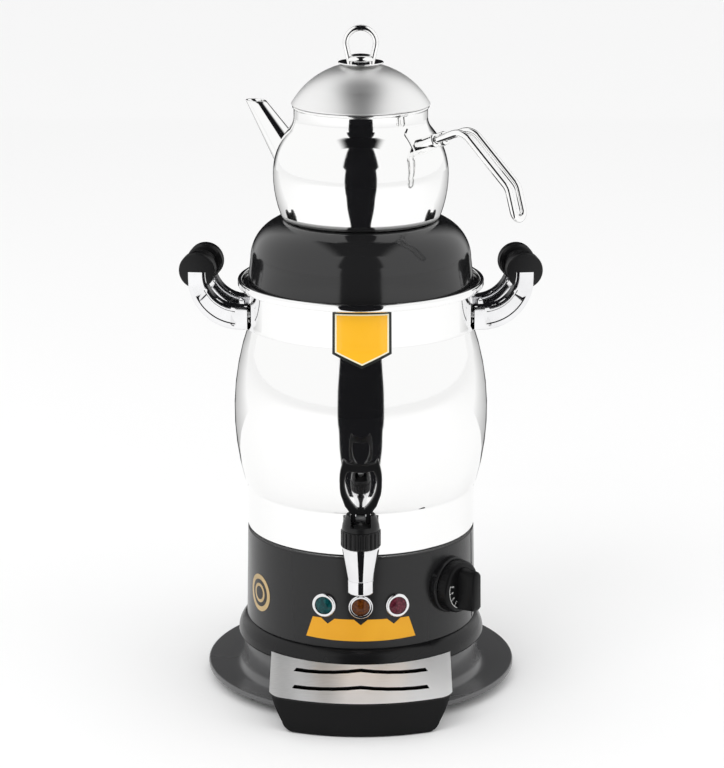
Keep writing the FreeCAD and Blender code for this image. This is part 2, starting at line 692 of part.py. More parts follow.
finish("tie_rods", group("tie_rods", [
    cylinder(f"tie_rod_{azimuth}", ROD_RADIUS, BOSS_BOTTOM + 6 - 2, Placement(
        heading(azimuth) * ROD_CIRCLE + UP * 2, Rotation()))
    for azimuth in ROD_AZIMUTHS
]))
rod_nuts = []
for azimuth in ROD_AZIMUTHS:
    spot = Placement(heading(azimuth) * ROD_CIRCLE + UP * 1.6, Rotation())
    blank = hexagon(f"rod_nut_blank_{azimuth}", 4.6, VALUES["pan_floor_top"] - VALUES["base_sheet"] - 1.6, spot)
    rod_nuts.append(cut(f"rod_nut_{azimuth}", blank, cylinder(f"rod_nut_bore_{azimuth}", ROD_RADIUS, 20, Placement(
        heading(azimuth) * ROD_CIRCLE, Rotation()))))
finish("tie_rod_nuts", group("tie_rod_nuts", rod_nuts))

# Immersion heater: a sheathed tube bent into a ring, with both legs through the floor

HEATER_RING_RADIUS = 48.0
HEATER_HEIGHT = 141.0


def heater_shape():
    """The heater's tube: up one leg, round the ring and down the other leg."""
    radius, level = HEATER_RING_RADIUS, HEATER_HEIGHT
    legs = [Vector(side * HEATER_LEG_X, HEATER_LEG_Y, 116) for side in (1, -1)]
    spread = math.acos(HEATER_LEG_X / radius * 0.8)
    starts = [Vector(side * radius * math.cos(spread), radius * math.sin(spread), level) for side in (1, -1)]
    ring = Part.Arc(starts[0], Vector(0, -radius, level), starts[1]).toShape()
    tangent = ring.tangentAt(ring.FirstParameter)
    knees = [Vector(legs[0].x, legs[0].y, level), Vector(legs[1].x, legs[1].y, level)]
    first = bent_path([legs[0], knees[0], starts[0]], [4.0])
    last = bent_path([starts[1], knees[1], legs[1]], [4.0])
    rods = [rod_along(first, HEATER_TUBE_RADIUS), rod_along(last, HEATER_TUBE_RADIUS)]
    rods.append(Part.Wire([ring]).makePipeShell(
        [Part.Wire([Part.makeCircle(HEATER_TUBE_RADIUS, starts[0], tangent)])], True, True))
    knuckles = [Part.makeSphere(HEATER_TUBE_RADIUS, start) for start in starts]
    return rods[0].multiFuse(rods[1:] + knuckles).removeSplitter()


finish("heating_element", shaped("heating_element", heater_shape()))
heater_nuts, heater_gaskets = [], []
for side in (-1, 1):
    floor_under = VALUES["urn_floor_top"] - VALUES["urn_sheet"]
    for part_name, radius, height, level, pile in (
            ("nut", 8.0, 4.0, floor_under - 5.5, heater_nuts), ("gasket", 7.0, 1.5, floor_under - 1.5, heater_gaskets)):
        spot = Placement(Vector(side * HEATER_LEG_X, HEATER_LEG_Y, level), Rotation())
        maker = hexagon if part_name == "nut" else cylinder
        blank = maker(f"heater_{part_name}_blank_{side}", radius, height, spot)
        pile.append(cut(f"heater_{part_name}_{side}", blank, cylinder(
            f"heater_{part_name}_bore_{side}", HEATER_TUBE_RADIUS, 20, Placement(
                Vector(side * HEATER_LEG_X, HEATER_LEG_Y, level - 5), Rotation()))))
finish("heater_nuts", group("heater_nuts", heater_nuts))
finish("heater_gaskets", group("heater_gaskets", heater_gaskets))
finish("safety_limiter", revolved("safety_limiter", [
    (0, 114), (5.5, 114), (5.5, 117), (9.5, 117), (9.5, S.urn_floor_top - S.urn_sheet),
    (0, S.urn_floor_top - S.urn_sheet)]))

# Tap: chromed body and spout, rubber washers and a nut inside the urn

TAP_SPOT = Placement(Vector(0, -VALUES["tap_distance"], 0), Rotation())
CHAMBER_RADIUS = 10.4
SEAT_HEIGHT = 131.0
NECK_TOP = 151.0
NECK_RADIUS = 11.4
spout_shell = revolved("spout_shell", [
    (S.spout_bore_radius, S.spout_bottom),
    (9.2, S.spout_bottom),
    (9.6, S.spout_bottom + 0.8),
    (9.6, 121.0),
    (9.3, 121.4),
    (9.7, 121.8),
    (13.7, S.tap_shoulder_height - 2.0),
    (12.9, S.tap_shoulder_height, 2.4),
    (NECK_RADIUS, S.tap_shoulder_height),
    (NECK_RADIUS, NECK_TOP),
    (CHAMBER_RADIUS, NECK_TOP),
    (CHAMBER_RADIUS, SEAT_HEIGHT),
    (S.spout_bore_radius, SEAT_HEIGHT),
], TAP_SPOT)
SHANK_INNER_END = 78.0
shank = cylinder("tap_shank", S.tap_shank_radius, S.tap_distance - 10.0 - SHANK_INNER_END,
                 outward(0, SHANK_INNER_END, S.tap_shank_height))
shoulder = cylinder("tap_shoulder", 12.5, 3.0, outward(0, 91.5, S.tap_shank_height))
tap_blank = joined("tap_blank", spout_shell, shank, shoulder)
chamber = cylinder("tap_chamber", CHAMBER_RADIUS, 30, Placement(
    Vector(0, -VALUES["tap_distance"], SEAT_HEIGHT), Rotation()))
shank_bore = cylinder("shank_bore", 5.0, 57, outward(0, SHANK_INNER_END - 5, S.tap_shank_height))
finish("tap_body", cut("tap_body", tap_blank, chamber, shank_bore))

tap_washers = []
for name, start, end in (("outer", 84.0, 91.5), ("inner", 83.0, 89.0)):
    ring = cylinder(f"washer_{name}_disc", 11.0, end - start, outward(0, start, S.tap_shank_height))
    ring = cut(f"washer_{name}_ring", ring, cylinder(
        f"washer_{name}_bore", S.tap_shank_radius, 30, outward(0, 75, S.tap_shank_height)))
    drum_radius = S.urn_foot_radius if name == "outer" else S.urn_foot_radius - S.urn_sheet
    column = cylinder(f"washer_{name}_column", drum_radius, 40, Placement(Vector(0, 0, 120), Rotation()))
    shaper = cut if name == "outer" else common
    tap_washers.append(shaper(f"washer_{name}", ring, column))
finish("tap_washers", group("tap_washers", tap_washers))
tap_nut = hexagon("tap_nut_blank", 13.0, 4.5, outward(0, 78.5, S.tap_shank_height))
finish("tap_nut", cut("tap_nut", tap_nut, cylinder(
    "tap_nut_bore", S.tap_shank_radius, 30, outward(0, 70, S.tap_shank_height))))

# Knurled collar and bell-shaped bonnet over the valve

KNURLS = 24
collar_ring = revolved("collar_ring", [
    (NECK_RADIUS, S.tap_shoulder_height),
    (S.tap_collar_radius - 0.5, S.tap_shoulder_height),
    (S.tap_collar_radius, S.tap_shoulder_height + 0.8),
    (S.tap_collar_radius, S.tap_collar_top - 1.0),
    (S.tap_collar_radius - 1.0, S.tap_collar_top),
    (NECK_RADIUS, S.tap_collar_top),
], TAP_SPOT)
grooves = [
    cylinder(f"knurl_{number}", 0.9, 20, TAP_SPOT.multiply(Placement(
        heading(number * 360.0 / KNURLS) * (VALUES["tap_collar_radius"] + 0.35) + UP * 145, Rotation())))
    for number in range(KNURLS)
]
finish("tap_collar", cut("tap_collar", collar_ring, *grooves))

SLOT_FLOOR = 164.0
SLOT_HALF = 7.4
CHEEK_TOP = 171.4
bell = revolved("bonnet_bell", [
    (S.stem_radius + RUNNING, NECK_TOP),
    (NECK_RADIUS, NECK_TOP),
    (NECK_RADIUS, S.tap_collar_top),
    (13.6, S.tap_collar_top),
    (13.8, S.tap_collar_top + 1.2),
    (10.6, CHEEK_TOP, 26),
    (S.stem_radius + RUNNING, CHEEK_TOP),
], TAP_SPOT)
finish("tap_bonnet", cut("tap_bonnet", bell, block(
    "bonnet_slot", (-SLOT_HALF, -20, SLOT_FLOOR), (SLOT_HALF, 20, 200), TAP_SPOT)))

# Valve: stem with an eye for the lever's pin, rubber washer and closing spring

EYE_RADIUS = 3.3
EYE_HALF = 3.4
DISC_BOTTOM = 134.0
stem_rod = revolved("stem_rod", [
    (0, DISC_BOTTOM), (8.2, DISC_BOTTOM), (8.2, DISC_BOTTOM + 2.2),
    (S.stem_radius, DISC_BOTTOM + 2.2), (S.stem_radius, S.pin_height), (0, S.pin_height)], TAP_SPOT)
eye = cylinder("stem_eye", EYE_RADIUS, 2 * EYE_HALF, TAP_SPOT.multiply(
    Placement(Vector(-EYE_HALF, 0, VALUES["pin_height"]), ALONG_X)))
pin_bore = cylinder("stem_pin_bore", S.pin_radius, 40, TAP_SPOT.multiply(
    Placement(Vector(-20, 0, VALUES["pin_height"]), ALONG_X)))
finish("valve_stem", cut("valve_stem", joined("stem_blank", stem_rod, eye), pin_bore))
finish("lever_pin", cylinder("lever_pin", S.pin_radius, 2 * (SLOT_HALF - 0.5), TAP_SPOT.multiply(
    Placement(Vector(0.5 - SLOT_HALF, 0, VALUES["pin_height"]), ALONG_X))))
finish("valve_washer", cylinder("valve_washer", 9.4, DISC_BOTTOM - SEAT_HEIGHT, TAP_SPOT.multiply(
    Placement(Vector(0, 0, SEAT_HEIGHT), Rotation()))))
SPRING_RADIUS = 5.0
SPRING_WIRE = 0.6
SPRING_TURNS = 4
spring_bottom = DISC_BOTTOM + 2.2 + SPRING_WIRE + 0.1
spring_length = NECK_TOP - SPRING_WIRE - 0.1 - spring_bottom
helix = Part.makeHelix(spring_length / SPRING_TURNS, spring_length, SPRING_RADIUS)
coil = Part.Wire(helix).makePipeShell([Part.Wire([Part.makeCircle(
    SPRING_WIRE, Vector(SPRING_RADIUS, 0, 0), Vector(0, 1, 0))])], True, True)
finish("closing_spring", shaped("closing_spring", coil, TAP_SPOT.multiply(
    Placement(Vector(0, 0, spring_bottom), Rotation()))))

# Lever: a flared open loop on a fork

half_thick = S.lever_thickness / 2
LEVER_SIDE = [          # half width and height along the lever's right edge, from the fork up
    (6.9, 164.7), (6.9, 171.8), (7.9, 172.8), (11.6, 178.0), (14.6, 186.5),
]
lever_outline = [(x, z) for x, z in LEVER_SIDE]
lever_outline += [(15.4, 195.5, 40), (13.6, 209.5, 36), (12.6, 213.3, 8), (10.6, 211.2, 3)]
lever_outline += [(-10.6, 211.2, -26), (-12.6, 213.3, 3), (-13.6, 209.5, 8), (-15.4, 195.5, 36)]
lever_outline += [(-14.6, 186.5, 40)] + [(-x, z) for x, z in reversed(LEVER_SIDE[:-1])]
lever_outline += [(-3.9, 164.7), (-3.9, 171.7), (3.9, 171.7), (3.9, 164.7)]
lever_window = [
    (2.4, 176.0), (10.2, 187.5, 30), (11.6, 196.5, 30), (9.0, 204.6, 14),
    (-9.0, 204.6, -34), (-11.6, 196.5, 14), (-10.2, 187.5, 30), (-2.4, 176.0, 30),
]
LEVER_FRONT = VALUES["tap_distance"] - VALUES["lever_thickness"] / 2
lever_plate = padded("lever_plate", "XZ_Plane", lever_outline, S.lever_thickness, LEVER_FRONT)
window = padded("lever_window", "XZ_Plane", lever_window, 40, VALUES["tap_distance"] - 20)
fork_bore = cylinder("fork_bore", S.pin_radius + RUNNING, 40, TAP_SPOT.multiply(
    Placement(Vector(-20, 0, VALUES["pin_height"]), ALONG_X)))
finish("tap_lever", cut("tap_lever", lever_plate, window, fork_bore))

# Urn handles: two curved arms each, and a ribbed grip between them

FOOT_BOTTOM = 278.5
OUTER_BEND = 38.5
INNER_BEND = 24.0
arm_outer = S.grip_distance + S.arm_width / 2
arm_inner = S.grip_distance - S.arm_width / 2
arm_outline = [
    (80.0, FOOT_BOTTOM),
    (arm_outer - OUTER_BEND, FOOT_BOTTOM),
    (arm_outer, FOOT_BOTTOM + OUTER_BEND, OUTER_BEND),
    (arm_outer, S.grip_height - 0.8),
    (arm_inner, S.grip_height - 0.8),
    (arm_inner, S.grip_height - 2.2),
    (arm_inner - INNER_BEND, S.grip_height - 2.2 - INNER_BEND, -INNER_BEND),
    (80.0, S.grip_height - 2.2 - INNER_BEND),
]
PANEL_MARGIN = 3.2
PANEL_DEPTH = 0.9
PANEL_TOP = 305.0
panel_outer_bend = OUTER_BEND - PANEL_MARGIN
panel_inner_bend = INNER_BEND + PANEL_MARGIN


def bend_reach(bend, rise):
    """How far from its centre a bend is at a height above or below that centre."""
    return math.sqrt(bend ** 2 - rise ** 2)


outer_centre = FOOT_BOTTOM + OUTER_BEND
inner_centre = VALUES["grip_height"] - 2.2
panel_outline = [
    (arm_outer - OUTER_BEND - 1.5, FOOT_BOTTOM + PANEL_MARGIN),
    (arm_outer - OUTER_BEND, FOOT_BOTTOM + PANEL_MARGIN),
    (arm_outer - OUTER_BEND + bend_reach(panel_outer_bend, outer_centre - PANEL_TOP), PANEL_TOP, panel_outer_bend),
    (arm_inner - INNER_BEND + bend_reach(panel_inner_bend, inner_centre - PANEL_TOP), PANEL_TOP),
    (arm_inner - INNER_BEND, inner_centre - panel_inner_bend, -panel_inner_bend),
    (arm_outer - OUTER_BEND - 1.5, inner_centre - panel_inner_bend),
]


def handle_arm(side, hand):
    """One arm, with a sunk panel on both faces, seated on the urn's wall."""
    name = f"arm_{'left' if side < 0 else 'right'}_{'near' if hand < 0 else 'far'}"
    frame = turned(side * VALUES["grip_azimuth"])
    middle = -hand * ARM_OFFSET
    blank = padded(f"{name}_blank", "XZ_Plane", arm_outline, S.arm_thickness, middle - S.arm_thickness / 2, frame)
    face = VALUES["arm_thickness"] / 2 - PANEL_DEPTH
    tools = [
        padded(f"{name}_panel_{end}", "XZ_Plane", panel_outline, 5.0, start, frame)
        for end, start in (("front", middle + face), ("back", middle - face - 5.0))
    ]
    tools.append(cylinder(f"{name}_thread", SCREW_RADIUS, 30, in_handle(
        side, 66, hand * ARM_OFFSET, ARM_SCREW_HEIGHT, ALONG_X)))
    tools.append(cylinder(f"{name}_socket", GRIP_ROD_RADIUS, 2 * GRIP_ROD_HALF, in_handle(
        side, VALUES["grip_distance"], -GRIP_ROD_HALF, GRIP_ROD_HEIGHT, ALONG_Y)))
    tools.append(urn_envelope)
    return cut(name, blank, *tools)


ALONG_Y = Rotation(Vector(1, 0, 0), -90)
GRIP_ROD_RADIUS = 2.5
GRIP_ROD_HALF = 18.0
GRIP_ROD_HEIGHT = 317.5
CAP_INNER = 10.5
RIB_PITCH = 4.2
RIB_DEPTH = 1.3
arm_screws = []
for side, word in ((-1, "left"), (1, "right")):
    finish(f"{word}_handle_arms", group(f"{word}_handle_arms", [handle_arm(side, hand) for hand in (-1, 1)]))
    cap, barrel, length = S.grip_cap_radius, S.grip_barrel_radius, S.grip_half_length
    section = [(0, -length), (cap - 1.2, -length), (cap, -length + 1.2), (cap, -CAP_INNER - 1.6), (cap - 1.4, -CAP_INNER)]
    for rib in range(5):
        low = -CAP_INNER + RIB_PITCH * rib
        section += [(barrel - RIB_DEPTH, low), (barrel - RIB_DEPTH, low + 1.0), (barrel, low + 1.8),
                    (barrel, low + 3.4), (barrel - RIB_DEPTH, low + RIB_PITCH)]
        section = section[:-1] if rib < 4 else section
    section += [(cap - 1.4, CAP_INNER), (cap, CAP_INNER + 1.6), (cap, length - 1.2), (cap - 1.2, length), (0, length)]
    spot = in_handle(side, VALUES["grip_distance"], 0, VALUES["grip_height"], ALONG_Y)
    blank = revolved(f"{word}_grip_blank", section, spot)
    slots = [
        padded(f"{word}_grip_slot_{hand}", "XZ_Plane", arm_outline, 20.0, start, turned(side * VALUES["grip_azimuth"]))
        for hand, start in ((-1, ARM_INSIDE - 0.1), (1, 0.1 - ARM_INSIDE - 20.0))
    ]
    slots.append(cylinder(f"{word}_grip_bore", GRIP_ROD_RADIUS, 60, in_handle(
        side, VALUES["grip_distance"], -30, GRIP_ROD_HEIGHT, ALONG_Y)))
    finish(f"{word}_grip", cut(f"{word}_grip", blank, *slots))
finish("grip_rods", group("grip_rods", [
    cylinder(f"grip_rod_{side}", GRIP_ROD_RADIUS, 2 * GRIP_ROD_HALF, in_handle(
        side, VALUES["grip_distance"], -GRIP_ROD_HALF, GRIP_ROD_HEIGHT, ALONG_Y))
    for side in (-1, 1)
]))
for side, hand, spot in arm_screw_spots:
    shank_part = cylinder(f"arm_screw_shank_{side}_{hand}", SCREW_RADIUS, 24, spot)
    head = cylinder(f"arm_screw_head_{side}_{hand}", 4.2, 12, spot.multiply(Placement(Vector(0, 0, 4), Rotation())))
    head = cut(f"arm_screw_seat_{side}_{hand}", head, cut(f"arm_screw_seat_wall_{side}_{hand}", cylinder(
        f"arm_screw_outside_{side}_{hand}", 120, 60, Placement(Vector(0, 0, 260), Rotation())), cylinder(
        f"arm_screw_inside_{side}_{hand}", S.urn_neck_radius - S.urn_sheet, 60, Placement(
            Vector(0, 0, 260), Rotation()))))
    trim = block(f"arm_screw_trim_{side}_{hand}", (40, -30, 270), (77.5, 30, 300), turned(side * VALUES["grip_azimuth"]))
    arm_screws.append(cut(f"arm_screw_{side}_{hand}", joined(f"arm_screw_blank_{side}_{hand}", shank_part, head), trim))
finish("arm_screws", group("arm_screws", arm_screws))

# Cover: the enamelled dome that closes the urn and carries the teapot

sheet_cover = S.cover_sheet
LIP_RADIUS = 83.6
finish("dome_cover", revolved("dome_cover", [
    (LIP_RADIUS - sheet_cover, 305.0),
    (LIP_RADIUS, 305.0),
    (LIP_RADIUS, S.urn_flange_top + FREE),
    (S.urn_bead_radius - 3.8, S.urn_flange_top + FREE),
    (S.urn_bead_radius - 3.8, S.urn_flange_top + FREE + sheet_cover),
    (S.urn_neck_radius + 0.6, S.urn_flange_top + FREE + sheet_cover),
    (84.0, 333.0),
    (68.4, 359.8, 31),
    (60.4, S.cover_seat_top, 40),
    (S.cover_hole_radius + 2.0, S.cover_seat_top),
    (S.cover_hole_radius, S.cover_seat_top - 2.0, 2.0),
    (S.cover_hole_radius, S.cover_seat_top - 7.0),
    (S.cover_hole_radius + sheet_cover, S.cover_seat_top - 7.0),
    (S.cover_hole_radius + sheet_cover, S.cover_seat_top - sheet_cover),
    (60.1, S.cover_seat_top - sheet_cover),
    (67.7, 358.4, -40),
    (82.5, 332.9, -29.5),
    (LIP_RADIUS - sheet_cover, S.urn_flange_top + FREE + sheet_cover),
]))

# Teapot: body, spout, bracket and rod handle welded into one

POT_TURN = turned(VALUES["pot_azimuth"])
LOW_CURVE = 89.0
HIGH_CURVE = 53.0
pot_base = 58.6
BASE_DISC = pot_base - 3.0


def pot_section(inset):
    """The teapot's side from its foot to its rim, at a depth inside its outer face."""
    low, high = LOW_CURVE - inset, HIGH_CURVE - inset
    start_rise = 31.0
    end_rise = 33.6 - 0.4 * inset
    centre = VALUES["pot_belly_radius"]
    start = (centre - LOW_CURVE + math.sqrt(low ** 2 - start_rise ** 2), S.pot_belly_height - start_rise)
    shoulder = (centre - HIGH_CURVE + math.sqrt(high ** 2 - end_rise ** 2), S.pot_belly_height + end_rise)
    return start, shoulder, low, high


start, shoulder, low, high = pot_section(0)
pot_side = [
    (pot_base - 2.0, S.pot_bottom),
    (start[0], start[1], 4.0),
    (S.pot_belly_radius, S.pot_belly_height, low),
    (shoulder[0], shoulder[1], high),
    (S.pot_neck_radius, 441.5, -14),
    (S.pot_neck_radius, S.pot_rim_top - 2.4),
    (S.pot_neck_radius + 1.2, S.pot_rim_top - 1.2),
    (S.pot_neck_radius + 0.9, S.pot_rim_top),
]
start, shoulder, low, high = pot_section(VALUES["pot_sheet"])
pot_inside = [
    (S.pot_neck_radius - S.pot_sheet, S.pot_rim_top),
    (S.pot_neck_radius - S.pot_sheet, 441.5),
    (shoulder[0], shoulder[1], 15.2),
    (S.pot_belly_radius - S.pot_sheet, S.pot_belly_height, -high),
    (start[0], start[1], -low),
    (BASE_DISC, S.pot_bottom + S.pot_sheet, -4.0),
]
pot_blank = revolved("pot_blank", pot_side + pot_inside + [(BASE_DISC, S.pot_bottom)])
finish("teapot_base", revolved("teapot_base", [
    (0, S.pot_bottom), (BASE_DISC, S.pot_bottom), (BASE_DISC, S.pot_bottom + S.pot_sheet),
    (0, S.pot_bottom + S.pot_sheet)]))
pot_solid = revolved("pot_solid", pot_side + [(0, S.pot_rim_top), (0, S.pot_bottom)])

SPOUT_FOOT = (60.0, 394.5)      # distance from the axis and height, on the spout's centre line
SPOUT_TIP = (106.0, 447.5)
SPOUT_FOOT_RADIUS = 14.0
SPOUT_TIP_RADIUS = 5.9
SPOUT_MOUTH_HEIGHT = 443.6
run, rise = SPOUT_TIP[0] - SPOUT_FOOT[0], SPOUT_TIP[1] - SPOUT_FOOT[1]
spout_length = math.hypot(run, rise)
spout_away = heading(VALUES["pot_azimuth"] + 180)
spout_line = (spout_away * run + UP * rise).normalize()
spout_spot = Placement(spout_away * SPOUT_FOOT[0] + UP * SPOUT_FOOT[1], Rotation(UP, spout_line))
spout_cone = cone("spout_outside", SPOUT_FOOT_RADIUS, SPOUT_TIP_RADIUS, spout_length, spout_spot)
spout_bore = cone("spout_inside", SPOUT_FOOT_RADIUS - 1.1, SPOUT_TIP_RADIUS - 1.1, spout_length, spout_spot)
mouth_cut = block("spout_mouth_cut", (-200, -200, SPOUT_MOUTH_HEIGHT), (200, 200, SPOUT_MOUTH_HEIGHT + 30))
finish("teapot_spout", cut("teapot_spout", spout_cone, spout_bore, mouth_cut, pot_solid))

STRAINER_HOLES = 6
hole_offsets = [(0.0, 0.0)] + [
    (6.0 * math.cos(2 * math.pi * k / STRAINER_HOLES), 6.0 * math.sin(2 * math.pi * k / STRAINER_HOLES))
    for k in range(STRAINER_HOLES)
]
strainer = [
    cylinder(f"strainer_hole_{number}", 1.5, 30, spout_spot.multiply(Placement(Vector(x, y, -12), Rotation())))
    for number, (x, y) in enumerate(hole_offsets)
]
finish("teapot_body", cut("teapot_body", pot_blank, *strainer))

band = revolved("bracket_band", [
    (pot_side[2][0] + 1.4, S.pot_belly_height + 10),
    (shoulder[0] + 2.6, shoulder[1], high + 2.6),
    (S.pot_neck_radius + 1.4, 440.5, -12.6),
    (0, 440.5),
    (0, S.pot_belly_height + 10),
])
plate_window = block("bracket_window", (30, -13.0, 420.0), (90, 13.0, 438.5), POT_TURN)
bracket_plate = cut("bracket_plate", common("bracket_curved", band, plate_window), pot_solid)
SOCKET_START = (50.0, 422.0)
SOCKET_END = (74.0, 431.8)
socket_line = Vector(SOCKET_END[0] - SOCKET_START[0], 0, SOCKET_END[1] - SOCKET_START[1])
sockets, socket_bores = [], []
for hand in (-1, 1):
    spot = POT_TURN.multiply(Placement(
        Vector(SOCKET_START[0], hand * VALUES["handle_half_gap"], SOCKET_START[1]), Rotation(UP, socket_line)))
    sockets.append(cylinder(f"socket_{hand}", 5.2, socket_line.Length, spot))
    socket_bores.append(cylinder(f"socket_bore_{hand}", S.handle_rod_radius, 60, spot))
finish("handle_bracket", cut("handle_bracket", joined("bracket_blank", bracket_plate, *sockets), pot_solid, *socket_bores))

CREST_REACH = 1.95       # how far out the handle's first bend is, in socket lengths
HANDLE_END = Vector(142.8, 0, 386.5)
UPPER_BEND = 14.0
LOWER_BEND = 13.0
HANDLE_KNEE = Vector(138.0, 0, 403.2)
socket_foot = Vector(SOCKET_START[0], 0, SOCKET_START[1])


def teapot_handle_shape():
    """One rod bent into a long loop: out, down, round the end and back."""
    gap = VALUES["handle_half_gap"]
    spine = [socket_foot + socket_line * 0.72, socket_foot + socket_line * CREST_REACH, HANDLE_KNEE, HANDLE_END]
    near = [point + Vector(0, -gap, 0) for point in spine]
    far = [point + Vector(0, gap, 0) for point in reversed(spine)]
    onward = (spine[-1] - spine[-2]).normalize()
    loop = Part.Arc(near[-1], spine[-1] + onward * gap, far[0]).toShape()
    edges = bent_path(near, [UPPER_BEND, LOWER_BEND]) + [loop] + bent_path(far, [LOWER_BEND, UPPER_BEND])
    return rod_along(edges, VALUES["handle_rod_radius"])


finish("teapot_handle", shaped("teapot_handle", teapot_handle_shape(), POT_TURN))

# Lid with its ring knob and the screw that holds the ring

lid_sheet = 1.2
LIP = 48.6
LIP_BOTTOM = 447.2
LID_HOLE = 2.1
lid_edge = S.lid_rim_bottom + 1.0
lid_rise = S.lid_top - lid_edge
lid_curve = (S.lid_radius * S.lid_radius + lid_rise * lid_rise) / (lid_rise * 2)
finish("teapot_lid", revolved("teapot_lid", [
    (LID_HOLE, S.lid_top - lid_sheet - 0.04),
    (LIP - lid_sheet, lid_edge + 5.2, -(lid_curve - lid_sheet)),
    (LIP - lid_sheet, LIP_BOTTOM),
    (LIP, LIP_BOTTOM),
    (LIP, S.lid_rim_bottom),
    (S.lid_radius - 0.6, S.lid_rim_bottom),
    (S.lid_radius, lid_edge, 1.0),
    (LID_HOLE, S.lid_top - 0.04, lid_curve),
]))


def ring_shape():
    """The rod of the ring: up from the flange, round the bend and down again."""
    radius, centre = VALUES["ring_radius"], Vector(0, 0, VALUES["ring_centre_height"])
    foot = Vector(-8.2, 0, 482.0)
    away = foot - centre
    lean = math.acos(radius / away.Length)
    direction = Rotation(Vector(0, 1, 0), math.degrees(lean)).multVec(away).normalize()
    touch = centre + direction * radius
    if touch.z < centre.z - radius * 0.9:
        direction = Rotation(Vector(0, 1, 0), -math.degrees(lean)).multVec(away).normalize()
        touch = centre + direction * radius
    mirror = Vector(-touch.x, 0, touch.z)
    edges = [
        Part.LineSegment(foot, touch).toShape(),
        Part.Arc(touch, centre + Vector(0, 0, radius), mirror).toShape(),
        Part.LineSegment(mirror, Vector(-foot.x, 0, foot.z)).toShape(),
    ]
    return rod_along(edges, VALUES["ring_rod_radius"])


SCREW_TIP = 485.0
BORE_RADIUS = 2.0
FLANGE_SEAT = 11.0


def crown_height(radius):
    """The height of the lid's outer face at a distance from the axis."""
    curve = plain(lid_curve)
    return VALUES["lid_top"] - curve + math.sqrt(curve ** 2 - radius ** 2)


flange = revolved("ring_flange", [
    (BORE_RADIUS, crown_height(BORE_RADIUS)), (FLANGE_SEAT, crown_height(FLANGE_SEAT), -lid_curve),
    (11.6, S.lid_top - 0.4), (16.8, S.lid_top - 0.2), (16.8, S.lid_top + 0.7, 0.5), (11.0, 483.4),
    (9.0, 485.2, -3), (4.6, 487.4, 4), (0, 488.2, 13.625), (0, SCREW_TIP), (BORE_RADIUS, SCREW_TIP)])
finish("lid_ring", joined("lid_ring_blank", flange, shaped("ring_rod", ring_shape())))
screw_seat = S.lid_top - lid_sheet - 0.3
finish("lid_screw", revolved("lid_screw", [
    (0, screw_seat - 3.0), (3.8, screw_seat - 3.0), (4.2, screw_seat), (2.0, screw_seat),
    (2.0, SCREW_TIP), (0, SCREW_TIP)]))

# Drip tray, hung over the base plate's lip, and its steel drip plate

grille_fall = (VALUES["grille_back_height"] - VALUES["grille_front_height"]) / (
    VALUES["tray_outer_radius"] - VALUES["tray_inner_radius"])


def slope_height(radius, drop=0.0):
    """The height of the sloping drip plate at a distance from the axis."""
    return VALUES["grille_back_height"] - grille_fall * (radius - VALUES["tray_inner_radius"]) - drop


def under_slope(name, drop, inner, outer, bottom):
    """A ring under the sloping plate, cut to the front of the samovar."""
    return revolved(name, [
        (inner, bottom), (outer, bottom),
        (outer, slope_height(plain(outer), drop)), (inner, slope_height(plain(inner), drop))])


def front_outline(inset):
    """The tray seen from the front: sides that lean in, round lower corners."""
    wide, low = S.tray_half_width - inset, S.tray_bottom + inset
    return [
        (-wide, 60.0), (-wide, 30.0), (-wide + 9.2, low + 7, 90), (-wide + 16.5, low, 9),
        (wide - 16.5, low), (wide - 9.2, low + 7, 9), (wide, 30.0, 90), (wide, 60.0),
    ]


def plan_outline(inset):
    """The tray seen from above: a ring sector with rounded front corners."""
    wide = VALUES["tray_half_width"] - inset
    reach = VALUES["tray_outer_radius"] - inset
    corner_x = wide - 9.0
    corner_y = math.sqrt(reach ** 2 - corner_x ** 2)
    return [
        (-wide, -60.0), (-wide, -corner_y + 9.0), (-corner_x, -corner_y, 16),
        (corner_x, -corner_y, reach), (wide, -corner_y + 9.0, 16), (wide, -60.0),
    ]


def tray_form(name, inset, drop, inner, bottom_step):
    """The tray's outer or inner form."""
    reach = plain(S.tray_outer_radius) - inset
    front = padded(f"{name}_front", "XZ_Plane", front_outline(inset), 120, 40)
    plan = padded(f"{name}_plan", "XY_Plane", plan_outline(inset), 80, -5)
    ring_solid = under_slope(f"{name}_ring", drop, inner, reach + 4, -1)
    form = common(f"{name}_in_plan", common(f"{name}_both", front, plan), ring_solid)
    step = cylinder(f"{name}_step", S.base_radius + bottom_step[0], 40, Placement(
        Vector(0, 0, bottom_step[1] - 40), Rotation()))
    return cut(f"{name}_form", form, step)


tray_lip_clear = VALUES["base_lip_top"] + FREE
outer_form = tray_form("tray_outer", 0.0, VALUES["grille_sheet"] + 0.2, S.tray_inner_radius, (1.2, tray_lip_clear))
inner_form = tray_form("tray_inner", VALUES["tray_wall"], -6.0, S.tray_inner_radius + S.tray_wall,
                       (1.2 + VALUES["tray_wall"], tray_lip_clear + VALUES["tray_wall"]))
finish("drip_tray", cut("drip_tray", outer_form, inner_form))

plate_front = padded("plate_plan", "XY_Plane", plan_outline(-0.4), 80, -5)
plate_slab = revolved("plate_slab", [
    (S.tray_inner_radius, slope_height(VALUES["tray_inner_radius"], VALUES["grille_sheet"])),
    (S.tray_outer_radius + 4, slope_height(VALUES["tray_outer_radius"] + 4, VALUES["grille_sheet"])),
    (S.tray_outer_radius + 4, slope_height(VALUES["tray_outer_radius"] + 4)),
    (S.tray_inner_radius, slope_height(VALUES["tray_inner_radius"])),
])


